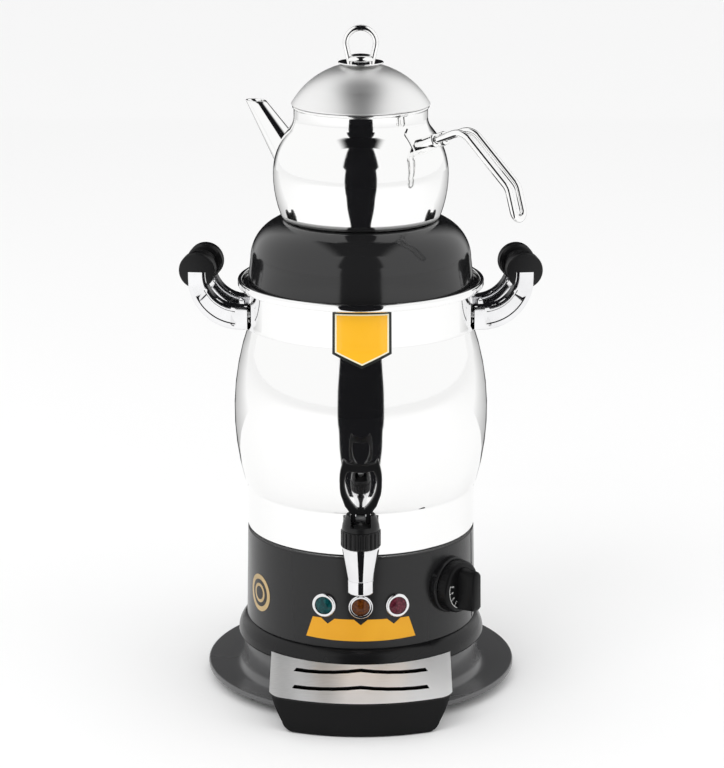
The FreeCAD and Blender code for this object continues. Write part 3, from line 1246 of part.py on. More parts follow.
def wavy_slot(name, radius, kink, half_angle):
    """A slot round the plate whose middle dips back, like a shallow open book."""
    width = 4.4
    steps = 5
    rows = []
    for edge in (width / 2, -width / 2):
        row = []
        for step in range(-steps, steps + 1):
            share = step / steps
            turn = math.radians(share * half_angle)
            bow = kink * (1 - abs(share)) ** 1.5 * (1 - 0.25 * abs(share))
            reach = radius - bow + edge
            row.append((reach * math.sin(turn), -reach * math.cos(turn)))
        rows.append(row)
    return padded(name, "XY_Plane", rows[0] + rows[1][::-1], 80, -5)


slots = [wavy_slot("slot_back", 109.5, 6.0, 27.0), wavy_slot("slot_front", 129.5, 5.0, 23.0)]
finish("drip_grille", cut("drip_grille", common("grille_blank", plate_slab, plate_front), *slots))


def check_and_export():
    """Recompute, stop on any failed object, and write one file for each sub-part."""
    doc.recompute()
    broken = [o.Name for o in doc.Objects if "Invalid" in o.State or "Error" in o.State]
    if broken:
        raise RuntimeError(f"failed features: {broken}")
    os.makedirs("parts", exist_ok=True)
    for name, thing in PIECES.items():
        shape = thing.Shape
        if shape.isNull() or not shape.isValid() or not shape.Solids:
            raise RuntimeError(f"{name} has no valid solid")
        shape.exportStep(f"parts/{name}.step")
        box = shape.BoundBox
        print(f"{name:20s} solids {len(shape.Solids):2d} volume {shape.Volume:10.1f} "
              f"x {box.XMin:7.1f} {box.XMax:7.1f} y {box.YMin:7.1f} {box.YMax:7.1f} z {box.ZMin:6.1f} {box.ZMax:6.1f}")
    print(f"{len(PIECES)} sub-parts written")


check_and_export()
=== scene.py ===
"""Looks of an electric samovar with a steel teapot on its domed cover.

Metres, +Z up, the tap towards -Y. Profiles are in millimetres, as (radius, height).
An azimuth is counted from the tap, positive towards +X.
"""

from math import acos, atan2, cos, degrees, hypot, pi, radians, sin, sqrt, tan

import bmesh
import bpy
from mathutils import Matrix, Vector


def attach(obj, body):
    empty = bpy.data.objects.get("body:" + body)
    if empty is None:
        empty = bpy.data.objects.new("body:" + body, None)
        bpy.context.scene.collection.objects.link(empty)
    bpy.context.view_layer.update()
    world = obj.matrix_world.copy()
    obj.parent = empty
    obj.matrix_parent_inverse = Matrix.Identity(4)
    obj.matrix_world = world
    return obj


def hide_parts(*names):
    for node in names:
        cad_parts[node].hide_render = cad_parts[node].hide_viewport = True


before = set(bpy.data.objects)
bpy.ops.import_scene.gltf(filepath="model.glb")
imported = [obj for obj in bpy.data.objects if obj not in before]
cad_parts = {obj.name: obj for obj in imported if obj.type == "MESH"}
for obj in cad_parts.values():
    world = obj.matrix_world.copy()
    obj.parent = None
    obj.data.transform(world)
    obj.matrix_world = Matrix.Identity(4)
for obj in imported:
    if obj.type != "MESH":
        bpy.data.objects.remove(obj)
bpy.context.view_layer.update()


# The table top: one wide pale sheet that runs on past the picture, so that no
# edge or horizon shows behind the samovar.

def new_object(name, data):
    """An object for a mesh, lamp, camera or curve, put into the scene."""
    thing = bpy.data.objects.new(name, data)
    bpy.context.scene.collection.objects.link(thing)
    return thing


def mesh_object(name, points, faces):
    """A mesh object from points in millimetres."""
    mesh = bpy.data.meshes.new(name)
    mesh.from_pydata([[value * 0.001 for value in point] for point in points], [], faces)
    mesh.validate()
    mesh.update()
    return new_object(name, mesh)


def new_material(name, **settings):
    """A material with its Principled shader set by socket name, as base_color=(r, g, b)."""
    material = bpy.data.materials.new(name)
    material.use_nodes = True
    shader = material.node_tree.nodes["Principled BSDF"]
    for key, value in settings.items():
        socket = shader.inputs[key.replace("_", " ").title().replace("Ior", "IOR")]
        socket.default_value = (*value, 1.0) if isinstance(value, tuple) and len(value) == 3 else value
    return material


def link(material, source, target):
    """A wire from one socket to another, in a material or a node group."""
    getattr(material, "node_tree", material).links.new(source, target)


def node(material, kind, inputs=None, **settings):
    """A new shader node with its properties set; each input is a value, or a socket to be wired to it."""
    made = getattr(material, "node_tree", material).nodes.new("ShaderNode" + kind)
    for key, value in settings.items():
        setattr(made, key, value)
    for key, value in (inputs or {}).items():
        if isinstance(value, bpy.types.NodeSocket):
            link(material, value, made.inputs[key])
        else:
            made.inputs[key].default_value = value
    return made


def feed(material, socket, source):
    """A wire to a socket of the material's own shader."""
    link(material, source, material.node_tree.nodes["Principled BSDF"].inputs[socket])


def colour_ramp(material, source, *stops):
    """A colour ramp with stops of (position, (r, g, b)), and its colour output."""
    ramp = node(material, "ValToRGB", {"Fac": source})
    while len(ramp.color_ramp.elements) < len(stops):
        ramp.color_ramp.elements.new(0.5)
    for element, (position, colour) in zip(ramp.color_ramp.elements, stops):
        element.position = position
        element.color = (*colour, 1.0)
    return ramp.outputs["Color"]


def oblong(half, near, far):
    """An oblong's corners, from its half width and the (Y, Z) of its near and far edges."""
    return [(-half, *near), (half, *near), (half, *far), (-half, *far)]


def tint(material, source, *stops):
    """A colour that follows a value, through a ramp's stops."""
    feed(material, "Base Color", colour_ramp(material, source, *stops))


TABLE_REACH = 14000.0
table_top = mesh_object("table_top", oblong(TABLE_REACH, (-TABLE_REACH, 0), (TABLE_REACH, 0)), [(0, 1, 2, 3)])
table_paint = new_material("table_paint", base_color=(0.94, 0.94, 0.94), roughness=0.9, specular_ior_level=0.1)
paint_grain = node(table_paint, "TexNoise", {"Scale": 3.0}).outputs["Fac"]
tint(table_paint, paint_grain, (0.3, (0.935,) * 3), (0.7, (0.95,) * 3))
table_top.data.materials.append(table_paint)


# The studio: a white tent lit evenly, one large soft lamp from the upper left and
# a weaker one from the right. Dark sheets in front, above, behind and on the table
# show only as reflections and give the polished metal its dark stripes.

def maths(material, operation, *terms):
    """One step of arithmetic on numbers or sockets, and its result."""
    return node(material, "Math", dict(enumerate(terms)), operation=operation).outputs[0]


tent = bpy.data.worlds.new("white_tent")
bpy.context.scene.world = tent
tent.use_nodes = True
tent_light = tent.node_tree.nodes["Background"]
tent_light.inputs["Color"].default_value = (1.0, 1.0, 1.0, 1.0)
tent_light.inputs["Strength"].default_value = 0.98
tent_seen = node(tent, "Background", {"Color": (1.0, 1.0, 1.0, 1.0)})
rays = node(tent, "LightPath").outputs
seen = maths(tent, "MAXIMUM", rays["Is Camera Ray"], rays["Is Glossy Ray"])
seen_through = maths(tent, "MAXIMUM", seen, rays["Is Transmission Ray"])
tent_mix = node(tent, "MixShader", {0: seen_through, 1: tent_light.outputs[0], 2: tent_seen.outputs[0]})
link(tent, tent_mix.outputs[0], tent.node_tree.nodes["World Output"].inputs["Surface"])


def soft_lamp(name, place, size, watts):
    """A square soft lamp that points at the middle of the samovar."""
    data = bpy.data.lights.new(name, "AREA")
    data.size = size
    data.energy = watts
    lamp = new_object(name, data)
    lamp.location = place
    lamp.rotation_euler = (Vector((0, 0, 0.25)) - Vector(place)).to_track_quat("-Z", "Y").to_euler()
    lamp.visible_glossy = False


soft_lamp("key_lamp", (-1.3, -1.6, 2.3), 1.6, 16.0)
soft_lamp("fill_lamp", (1.9, -1.0, 1.7), 1.6, 5.0)


def dark_screen(name, corners, cloth):
    """A dark sheet seen only in reflections."""
    screen = mesh_object(name, corners, [tuple(range(len(corners)))])
    screen.data.materials.append(cloth)
    for sight in ("camera", "diffuse", "shadow", "transmission"):
        setattr(screen, "visible_" + sight, False)


def own_place(material):
    """Where each point lies on its own piece."""
    return node(material, "TexCoord").outputs["Object"]


def parts(material, vector):
    """A vector's X, Y and Z."""
    return node(material, "SeparateXYZ", {"Vector": vector}).outputs


def black_cloth(name):
    """Dull black cloth, with how far each point lies to a side, and its Y."""
    cloth = new_material(name, base_color=(0.008, 0.008, 0.009), roughness=1.0, specular_ior_level=0.0)
    place = parts(cloth, own_place(cloth))
    return cloth, maths(cloth, "ABSOLUTE", place["X"]), place["Y"]


def screen_cloth(name, dark_half, soft_half):
    """Black cloth that thins out to nothing between two distances from the middle."""
    cloth, away, _ = black_cloth(name)
    thin = node(cloth, "MapRange", {
        "Value": away, "From Min": dark_half, "From Max": soft_half, "To Min": 1.0, "To Max": 0.0},
        interpolation_type="SMOOTHSTEP")
    feed(cloth, "Alpha", thin.outputs["Result"])
    return cloth


def both_sides(left):
    """An outline's corners down its left side, and back up its right side."""
    return left + [(-x, y, z) for x, y, z in reversed(left)]


SCREEN_Y, SCREEN_TOP, BACK_Y, SHEET_HEIGHT = -2450, 4200, 2600, 2
front_cloth = screen_cloth("front_cloth", 1.04, 1.16)
top_cloth = screen_cloth("top_cloth", 1.1, 2.0)
rear_cloth = screen_cloth("rear_cloth", 0.75, 1.9)
dark_screen("front_screen", both_sides([(x, SCREEN_Y, z) for x, z in (
    (-900, SHEET_HEIGHT), (-920, 600), (-900, 1300), (-1160, 1600), (-1160, SCREEN_TOP))]), front_cloth)
dark_screen("top_screen", oblong(2000, (SCREEN_Y, SCREEN_TOP), (1400, SCREEN_TOP)), top_cloth)
dark_screen("floor_screen", both_sides([(x, y, SHEET_HEIGHT) for x, y in (
    (-45, -260), (-115, -414), (-220, -683), (-335, -1012), (-415, -1225), (-520, -1465), (-900, SCREEN_Y))]),
    front_cloth)
dark_screen("rear_screen", oblong(1900, (BACK_Y, 0), (BACK_Y, 3600)), rear_cloth)

# The cloth on the table behind opens like a fan, so that each polished edge shows a
# dark line whatever its height
fan_cloth, fan_side, fan_back = black_cloth("fan_cloth")
fan_share = maths(fan_cloth, "DIVIDE", fan_side, maths(fan_cloth, "ADD", fan_back, 0.6))
feed(fan_cloth, "Alpha", colour_ramp(
    fan_cloth, fan_share, (0.2, (1, 1, 1)), (0.26, (0.5, 0.5, 0.5)), (0.85, (0, 0, 0))))
dark_screen("fan_screen", oblong(BACK_Y, (470, SHEET_HEIGHT), (BACK_Y, SHEET_HEIGHT)), fan_cloth)

camera_data = bpy.data.cameras.new("camera")
camera_data.lens = 124.65
camera_data.sensor_width = 36.0
camera_data.clip_end = 60.0
camera = new_object("camera", camera_data)
camera.location = (0.0009, -1.9782, 0.7724)
camera.rotation_euler = (radians(90 - 15.259), 0, 0)
bpy.context.scene.camera = camera
bpy.context.scene.view_settings.view_transform = "Standard"


# Base plate: a dish of spun steel sheet with a raised hub and a lip turned down
# all round, dipped in black stove enamel.

def arc_points(start, end, radius):
    """Points after start on the arc to end; a negative radius turns clockwise."""
    ax, ay = start
    bx, by = end
    chord = hypot(bx - ax, by - ay)
    height = sqrt(max(0.0, radius * radius - chord * chord / 4))
    turn = 1 if radius > 0 else -1
    cx = (ax + bx) / 2 - turn * (by - ay) / chord * height
    cy = (ay + by) / 2 + turn * (bx - ax) / chord * height
    first = atan2(ay - cy, ax - cx)
    sweep = atan2(by - cy, bx - cx) - first
    sweep -= 2 * pi * round(sweep / (2 * pi))
    if sweep * turn < 0:
        sweep += turn * 2 * pi
    steps = max(3, int(abs(degrees(sweep)) / 5) + 1)
    return [(cx + abs(radius) * cos(first + sweep * k / steps),
             cy + abs(radius) * sin(first + sweep * k / steps)) for k in range(1, steps)] + [(bx, by)]


def outline_points(corners, soften):
    """A closed outline as points: arcs drawn out, and hard corners rounded a little."""
    points, hard = [], []
    count = len(corners)
    for index in range(count):
        here, following = corners[index], corners[(index + 1) % count]
        if not points:
            points.append(tuple(here[:2]))
            hard.append(True)
        radius = following[2] if len(following) > 2 else 0
        drawn = arc_points(here[:2], following[:2], radius) if radius else [tuple(following[:2])]
        points += drawn
        hard += [False] * (len(drawn) - 1) + [True]
    points.pop()
    hard.pop()
    rounded = []
    for index, point in enumerate(points):
        before, after = Vector(points[index - 1]), Vector(points[(index + 1) % len(points)])
        corner = Vector(point)
        inward, onward = before - corner, after - corner
        bend = pi - inward.angle(onward, pi)
        if not hard[index] or bend < 0.4 or soften <= 0 or corner.x < 1e-6:
            rounded.append(point)
            continue
        start = corner + inward.normalized() * min(soften, inward.length * 0.4)
        end = corner + onward.normalized() * min(soften, onward.length * 0.4)
        for step in range(5):
            t = step / 4
            rounded.append(tuple(start * (1 - t) ** 2 + corner * 2 * t * (1 - t) + end * t * t))
    return rounded


def smooth(thing, degrees=38.0):
    """Soft shading across gentle bends and crisp edges at sharp ones."""
    thing.data.shade_smooth()
    thing.data.set_sharp_from_angle(angle=radians(degrees))
    return thing


def dress(thing, body, slot_name, material, *nodes, place=None):
    """Put a finished piece on its body with its material, and hide the solids it stands for; slot_name is not used.
    """
    if place is not None:
        thing.data.transform(place)
    thing.data.materials.clear()
    thing.data.materials.append(material)
    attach(thing, body)
    if nodes:
        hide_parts(*nodes)
    return thing


def spun(name, corners, turns=192, soften=0.45, ripple=None):
    """A piece turned about the Z axis; ripple(point, angle) may move a radius."""
    side = outline_points(corners, soften)
    points, rings = [], []
    for radius, height in side:
        if radius < 1e-6:
            rings.append([len(points)] * turns)
            points.append((0, 0, height))
            continue
        rings.append(list(range(len(points), len(points) + turns)))
        for step in range(turns):
            angle = 2 * pi * step / turns
            reach = ripple((radius, height), angle) if ripple else radius
            points.append((reach * cos(angle), reach * sin(angle), height))
    faces = []
    for index, low in enumerate(rings):
        high = rings[(index + 1) % len(rings)]
        for step in range(turns):
            onward = (step + 1) % turns
            face = list(dict.fromkeys((low[step], low[onward], high[onward], high[step])))
            if len(face) > 2:
                faces.append(face)
    return smooth(mesh_object(name, points, faces))


def effect(name, output, kind, **inputs):
    """A shader node group with one output and named number inputs, the inputs' sockets and the output's."""
    tree = bpy.data.node_groups.new(name, "ShaderNodeTree")
    for key, value in inputs.items():
        tree.interface.new_socket(key, in_out="INPUT", socket_type="NodeSocketFloat").default_value = value
    tree.interface.new_socket(output, in_out="OUTPUT", socket_type=kind)
    return tree, tree.nodes.new("NodeGroupInput").outputs, tree.nodes.new("NodeGroupOutput").inputs[output]


def place_effect(material, tree, **values):
    """One use of an effect in a material with its own values, and what it puts out."""
    return node(material, "Group", values, node_tree=tree).outputs[0]


# Effect: the fine waves of fired enamel and moulded plastic, as a normal
skin, skin_in, skin_out = effect("skin_waves", "Normal", "NodeSocketVector", Size=400.0, Depth=0.05)
skin_noise = node(skin, "TexNoise", {"Vector": own_place(skin), "Scale": skin_in["Size"], "Detail": 3.0})
skin_bump = node(skin, "Bump", {
    "Strength": skin_in["Depth"], "Distance": 0.0004, "Height": skin_noise.outputs["Fac"]})
link(skin, skin_bump.outputs["Normal"], skin_out)

# Effect: where hands and cloths have rubbed and dust has settled, as a soft mask
wiped, wiped_in, wiped_out = effect("wiped_patches", "Mask", "NodeSocketFloat", Size=9.0, Edge=0.12)
wiped_noise = node(wiped, "TexNoise", {
    "Vector": own_place(wiped), "Scale": wiped_in["Size"], "Detail": 5.0, "Distortion": 0.6})
wiped_range = node(wiped, "MapRange", {
    "Value": wiped_noise.outputs["Fac"], "From Min": maths(wiped, "SUBTRACT", 0.5, wiped_in["Edge"]),
    "From Max": maths(wiped, "ADD", 0.5, wiped_in["Edge"])}, interpolation_type="SMOOTHSTEP")
link(wiped, wiped_range.outputs["Result"], wiped_out)

# Effect: painted highlights on the edges, found from how sharply the surface bends
edges, edges_in, edges_out = effect("painted_edge_highlights", "Mask", "NodeSocketFloat", Start=0.53, End=0.62)
edges_range = node(edges, "MapRange", {
    "Value": node(edges, "NewGeometry").outputs["Pointiness"],
    "From Min": edges_in["Start"], "From Max": edges_in["End"]}, interpolation_type="SMOOTHSTEP")
link(edges, edges_range.outputs["Result"], edges_out)


def spread(material, source, low, high):
    """A value from 0 to 1 moved to the range from low to high."""
    return node(material, "MapRange", {"Value": source, "To Min": low, "To Max": high}).outputs["Result"]


def gloss(material, source, low, high):
    """A roughness that follows a value."""
    feed(material, "Roughness", spread(material, source, low, high))


def wear(material, size, edge, shine=None, colours=None):
    """Wiped patches in a material's gloss, its colour or both, and their mask."""
    patches = place_effect(material, wiped, Size=size, Edge=edge)
    if shine:
        gloss(material, patches, *shine)
    if colours:
        tint(material, patches, (0.0, colours[0]), (1.0, colours[1]))
    return patches


def dark_finish(name, colour, edge_sheen, low_gloss, high_gloss, waves, depth, shine):
    """Enamel or plastic: waves in the skin, wiped patches in the gloss; edges painted lighter, a painted highlight,
    if a highlight colour is given.
    """
    material = new_material(name, base_color=colour, roughness=low_gloss, specular_ior_level=shine)
    patches = wear(material, 7.0, 0.16, (low_gloss, high_gloss))
    # Painted highlight: sharp outer edges are painted lighter; with no highlight colour, the wiped patches vary the
    # colour at random instead
    sheen_and_wear = place_effect(material, edges) if edge_sheen else patches
    tint(material, sheen_and_wear, (0.0, colour), (1.0, edge_sheen or [1.25 * part for part in colour]))
    feed(material, "Normal", place_effect(material, skin, Size=waves, Depth=depth))
    return material


# The third value given to a dark finish is its painted edge highlight colour, where there is one
enamel = dark_finish("black_enamel", (0.012, 0.012, 0.0125), (0.03, 0.03, 0.031), 0.2, 0.3, 240.0, 0.05, 0.36)
dish_enamel = dark_finish("dish_enamel", (0.1, 0.1, 0.102), (0.13, 0.13, 0.132), 0.23, 0.28, 240.0, 0.03, 0.6)

HUB_RADIUS = 92.0
LIP_RADIUS = 120.0
dress(spun("base_dish", [
    (84, 35), (84, 33.5), (90.5, 33.5), (90.5, 14), (99, 5.5, 8.5), (104.5, 5.5), (118.5, 8.8), (118.5, 7.5),
    (LIP_RADIUS, 7.5), (LIP_RADIUS, 9.9), (118.4, 11, 1.4), (104.5, 7), (99, 7), (HUB_RADIUS, 14, -7),
    (HUB_RADIUS, 35),
], turns=256, soften=0.3), "boiler", "black_enamel", dish_enamel, "base_plate")


# Bottom cover, feet and screws: a galvanised disc with air slots, on four moulded
# rubber feet. They show only from below, so their own solids carry the finishes.

galvanised = new_material("galvanised_sheet", base_color=(0.5, 0.51, 0.52), metallic=0.9, roughness=0.42)
spangle = node(galvanised, "TexVoronoi", {"Scale": 95.0}).outputs["Distance"]
tint(galvanised, spangle, (0.0, (0.42, 0.43, 0.44)), (0.9, (0.6, 0.61, 0.62)))
gloss(galvanised, spangle, 0.32, 0.5)

foot_rubber = dark_finish("foot_rubber", (0.02, 0.02, 0.02), (0.04, 0.04, 0.04), 0.62, 0.78, 900.0, 0.25, 0.3)


def metal_finish(name, colour, dull, low, high, size=14.0):
    """Plain metal whose gloss varies in wiped patches."""
    material = new_material(name, base_color=colour, metallic=1.0, roughness=low)
    wear(material, size, 0.2, (low, high), (colour, dull))
    return material


def finish_nodes(material, *names):
    """Give a finish to pieces whose own solids are shown."""
    for name in names:
        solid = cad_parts[name]
        solid.data.materials.clear()
        solid.data.materials.append(material)


zinc = metal_finish("zinc_plate", (0.62, 0.63, 0.64), (0.5, 0.5, 0.5), 0.28, 0.44, 60.0)
finish_nodes(galvanised, "bottom_cover")
finish_nodes(foot_rubber, "rubber_feet")
finish_nodes(zinc, "foot_screws", "tie_rods", "tie_rod_nuts")


# Collar: a moulded plastic ring with a round bulge, which covers the joint between
# the base dish and the lower housing.

plastic = dark_finish("black_plastic", (0.007, 0.007, 0.0075), (0.022, 0.022, 0.023), 0.22, 0.34, 700.0, 0.05, 0.26)
dress(spun("collar_ring", [
    (86, 35), (HUB_RADIUS, 35), (HUB_RADIUS, 33.2), (93.6, 33.2), (96, 35.8, 2.6), (90.6, 47.5, 16), (88.8, 48.5),
    (86, 48.5),
], turns=256, soften=0.3), "boiler", "black_plastic", plastic, "base_collar")


# Lower housing: a drum of rolled and enamelled sheet round the wiring, with its
# edges curled in. Two bare foil plates are stuck on it, one under the lamps.

HOUSING_LOW, HOUSING_HIGH = 89.4, 88.0
HOUSING_FOOT, HOUSING_HEAD = 50.1, 119.8
dress(spun("housing_drum", [
    (87.9, 48.5), (88.6, 48.5), (HOUSING_LOW, HOUSING_FOOT, 2), (HOUSING_HIGH, HOUSING_HEAD), (87.0, 121, 1.2),
    (86.5, 121),
], turns=256, soften=0.25), "boiler", "black_enamel", enamel, "lower_housing")


def housing_radius(height):
    """The housing's outer radius at a height."""
    return HOUSING_LOW + (HOUSING_HIGH - HOUSING_LOW) * (height - HOUSING_FOOT) / (HOUSING_HEAD - HOUSING_FOOT)


def final_mesh(thing):
    """A piece's mesh with its modifiers carried out, or the mesh of a curve or of text."""
    return bpy.data.meshes.new_from_object(thing.evaluated_get(bpy.context.evaluated_depsgraph_get()))


def mesh_from(curve):
    """The mesh of a curve or of text, which isn't kept itself."""
    holder = new_object("holder", curve)
    mesh = final_mesh(holder)
    bpy.data.objects.remove(holder)
    return mesh


def filled(name, outlines, **settings):
    """The mesh that closed outlines fill in their own plane."""
    curve = bpy.data.curves.new(name, "CURVE")
    for key, value in dict(settings, dimensions="2D", fill_mode="BOTH").items():
        setattr(curve, key, value)
    for outline in outlines:
        line = curve.splines.new("POLY")
        line.points.add(len(outline) - 1)
        for point, (x, y) in zip(line.points, outline):
            point.co = (x, y, 0, 1)
        line.use_cyclic_u = True
    return mesh_from(curve)


def two_faced(name, points, faces, degrees):
    """A thin sheet from the points of its front and then of its back, and the faces of its front."""
    count = len(points) // 2
    sides = {(a, b): None for face in faces for a, b in zip(face, face[1:] + face[:1])}
    skin_faces = faces + [[v + count for v in reversed(face)] for face in faces]
    skin_faces += [[b, a, a + count, b + count] for a, b in sides if (b, a) not in sides]
    return smooth(mesh_object(name, points, skin_faces), degrees)


def wrapped(name, outline, radius_at, proud, thickness, cell=1.2):
    """A thin plate bent round the axis: outline corners are (azimuth, height)."""
    flat = filled(name, [[(radians(azimuth) * radius_at(height), height) for azimuth, height in outline]])
    cut_by_lines(flat, cell)
    points = []
    for back in (0.0, thickness):
        for vertex in flat.vertices:
            reach = radius_at(vertex.co.y) + proud - back
            angle = vertex.co.x / radius_at(vertex.co.y)
            points.append((reach * sin(angle), -reach * cos(angle), vertex.co.y))
    faces = [list(polygon.vertices) for polygon in flat.polygons]
    bpy.data.meshes.remove(flat)
    return two_faced(name, points, faces, 50)


def cut_by_lines(mesh, cell):
    """Cut a flat mesh into small squares, so that it can be bent smoothly."""
    work = bmesh.new()
    work.from_mesh(mesh)
    for axis in (0, 1):
        low = min(corner.co[axis] for corner in work.verts)
        high = max(corner.co[axis] for corner in work.verts)
        steps = max(1, int((high - low) / cell))
        for step in range(1, steps):
            place, normal = [0.0, 0.0, 0.0], [0.0, 0.0, 0.0]
            place[axis], normal[axis] = low + (high - low) * step / steps, 1.0
            bmesh.ops.bisect_plane(work, geom=work.verts[:] + work.edges[:] + work.faces[:],
                                   plane_co=place, plane_no=normal)
    bmesh.ops.recalc_face_normals(work, faces=work.faces)
    if work.faces and sum(f.normal.z for f in work.faces) < 0:
        bmesh.ops.reverse_faces(work, faces=work.faces)
    work.to_mesh(mesh)
    work.free()


foil_yellow = new_material("yellow_foil", base_color=(0.807, 0.381, 0.012), roughness=0.38, specular_ior_level=0.35)
wear(foil_yellow, 30.0, 0.2, (0.3, 0.44), ((0.79, 0.36, 0.011), (0.83, 0.4, 0.014)))
LABEL_TOP, LABEL_BOTTOM, NOTCH_FOOT = 72.6, 56.4, 68.2
label = [(x, LABEL_BOTTOM - drop) for x, drop in ((-27.6, 0), (-14, 0.8), (0, 1.0), (14, 0.8), (27.6, 0))]
label.append((24.1, LABEL_TOP))
for notch in (16.3, 0.0, -16.3):
    label += [(notch + 3.4, LABEL_TOP), (notch, NOTCH_FOOT), (notch - 3.4, LABEL_TOP)]
label.append((-24.1, LABEL_TOP))
dress(wrapped("lamp_plate", label, housing_radius, 0.22, 0.3), "boiler", "black_enamel", foil_yellow)

foil_gold = metal_finish("gold_foil", (0.62, 0.46, 0.24), (0.5, 0.37, 0.2), 0.28, 0.4, 45.0)
GOLD_AZIMUTH, GOLD_HEIGHT, GOLD_RADIUS = -61.0, 78.0, 14.6
gold_round = [(GOLD_AZIMUTH + degrees(GOLD_RADIUS * cos(k * pi / 32) / 88.8),
               GOLD_HEIGHT + GOLD_RADIUS * sin(k * pi / 32)) for k in range(64)]
dress(wrapped("gold_plate", gold_round, housing_radius, 0.22, 0.3), "boiler", "black_enamel", foil_gold)
foil_dark = dark_finish("dark_foil", (0.014, 0.013, 0.012), (0.03, 0.027, 0.024), 0.3, 0.4, 500.0, 0.03, 0.3)
for number, (size, foil) in enumerate(((0.74, foil_dark), (0.52, foil_gold), (0.36, foil_dark))):
    inner_round = [(GOLD_AZIMUTH + (azimuth - GOLD_AZIMUTH) * size, GOLD_HEIGHT + (height - GOLD_HEIGHT) * size)
                   for azimuth, height in gold_round]
    dress(wrapped(f"gold_plate_ring_{number}", inner_round, housing_radius, 0.3 + 0.08 * number, 0.2),
          "boiler", "black_enamel", foil)

# The housing's sheet overlaps itself in a narrow upright seam behind the knob
SEAM_LEFT, SEAM_RIGHT = 75.65, 76.35
seam = [(SEAM_LEFT, 50.5), (SEAM_RIGHT, 50.5), (SEAM_RIGHT, 119.4), (SEAM_LEFT, 119.4)]
dress(wrapped("housing_seam", seam, housing_radius, 0.3, 0.5), "boiler", "black_enamel", enamel)


# Lamps: three indicator lamps pushed through the housing, each a chromed ring with
# a tinted lens that is ribbed inside. They are held by ring nuts behind the sheet.

def outward(azimuth, distance, height):
    """A placement whose Z axis points away from the samovar's axis."""
    turn = radians(azimuth)
    away = Vector((sin(turn), -cos(turn), 0))
    across = Vector((0, 0, 1)).cross(away)
    place = Matrix((across, Vector((0, 0, 1)), away)).transposed().to_4x4()
    place.translation = (away * distance + Vector((0, 0, height))) * 0.001
    return place


chrome = metal_finish("chrome_plate", (0.86, 0.86, 0.87), (0.8, 0.8, 0.81), 0.035, 0.09, 40.0)
LAMP_WALL, LAMP_HEIGHT = 88.4, 83.0


def lens_finish(name, deep, bright):
    """Tinted clear plastic over a ribbed reflector, lighter where the ribs stand up: painted glints on the ribs."""
    material = new_material(name, base_color=deep, roughness=0.12, specular_ior_level=0.3)
    rib_glints = node(material, "TexVoronoi", {"Vector": own_place(material), "Scale": 520.0})
    tint(material, rib_glints.outputs["Distance"], (0.0, bright), (0.75, deep))
    return material


LENSES = (
    ("green", -18.0, (0.001, 0.03, 0.034), (0.004, 0.085, 0.088)),
    ("amber", 0.0, (0.05, 0.011, 0.001), (0.14, 0.04, 0.005)),
    ("red", 18.0, (0.06, 0.008, 0.016), (0.18, 0.03, 0.05)),
)
for colour, azimuth, deep, bright in LENSES:
    spot = outward(azimuth, LAMP_WALL, LAMP_HEIGHT)
    ring = spun(f"lamp_ring_{colour}", [
        (6.0, -3), (9.4, -1.5), (9.4, 1.4), (8.4, 2.8, 1.6), (6.9, 2.6), (6.6, 0.8), (6.0, 0.8)],
        turns=96, soften=0.3)
    dress(ring, "boiler", "chrome_plate", chrome, place=spot)
    if colour == "amber":
        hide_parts("lamp_bezels")
    lens = spun(f"lamp_glass_{colour}", [
        (0, -8), (6.0, -8), (6.0, 0.8), (6.5, 0.8), (6.6, 2.2), (0, 4.0, 13.0)], turns=96, soften=0.2)
    dress(lens, "boiler", f"{colour}_lens", lens_finish(f"{colour}_glass", deep, bright), f"lamp_lens_{colour}",
          place=spot)
finish_nodes(plastic, "lamp_nuts")


# Thermostat: a capillary switch behind the wall. Outside, a moulded bezel seats the
# knob, whose skirt carries a pointer bar. The knob is pushed onto the shaft.

KNOB_AZIMUTH, KNOB_WALL, KNOB_HEIGHT = 50.0, 88.6, 90.0
knob_spot = outward(KNOB_AZIMUTH, KNOB_WALL, KNOB_HEIGHT)
bezel = spun("knob_bezel", [
    (4.5, -1.0), (21.5, -2.6), (21.7, 2.0), (20.1, 3.6, 1.6), (4.5, 3.6)], turns=144, soften=0.3)
dress(bezel, "boiler", "black_plastic", plastic, "thermostat_bezel", place=knob_spot)


knob_plastic = dark_finish("knob_plastic", (0.004, 0.004, 0.0043), None, 0.26, 0.38, 700.0, 0.05, 0.14)


NOTCHES, NOTCH_DEPTH = 48, 0.28


def knob_serration(point, angle):
    """Fine grip notches on the skirt's lower rim."""
    radius, height = point
    if radius < 19.0 or height > 9.5:
        return radius
    return radius - NOTCH_DEPTH * (0.5 + 0.5 * cos(angle * NOTCHES)) ** 3


dress(spun("knob_skirt", [
    (3, 4.2), (20.5, 4.2), (20.0, 10.5), (17.5, 12.8, 3), (0, 12.8), (0, 12.0), (3, 12.0)],
    turns=288, soften=0.3, ripple=knob_serration),
    "knob", "black_plastic", knob_plastic, "thermostat_knob", place=knob_spot)


def lofted(name, rows, degrees, ends=True, clockwise=False):
    """A skin over rows of points that each close on themselves, shut at its ends or else joined end to end."""
    count = len(rows[0])
    starts = [row * count for row in range(len(rows))]
    pairs = zip(starts, starts[1:]) if ends else zip(starts, starts[1:] + starts[:1])
    faces = [[low + k, low + (k + 1) % count, high + (k + 1) % count, high + k]
             for low, high in pairs for k in range(count)]
    if ends:
        faces += [list(reversed(range(count))), list(range(starts[-1], starts[-1] + count))]
    if clockwise:
        faces = [face[:1] + face[:0:-1] for face in faces]
    return smooth(mesh_object(name, [point for row in rows for point in row], faces), degrees)


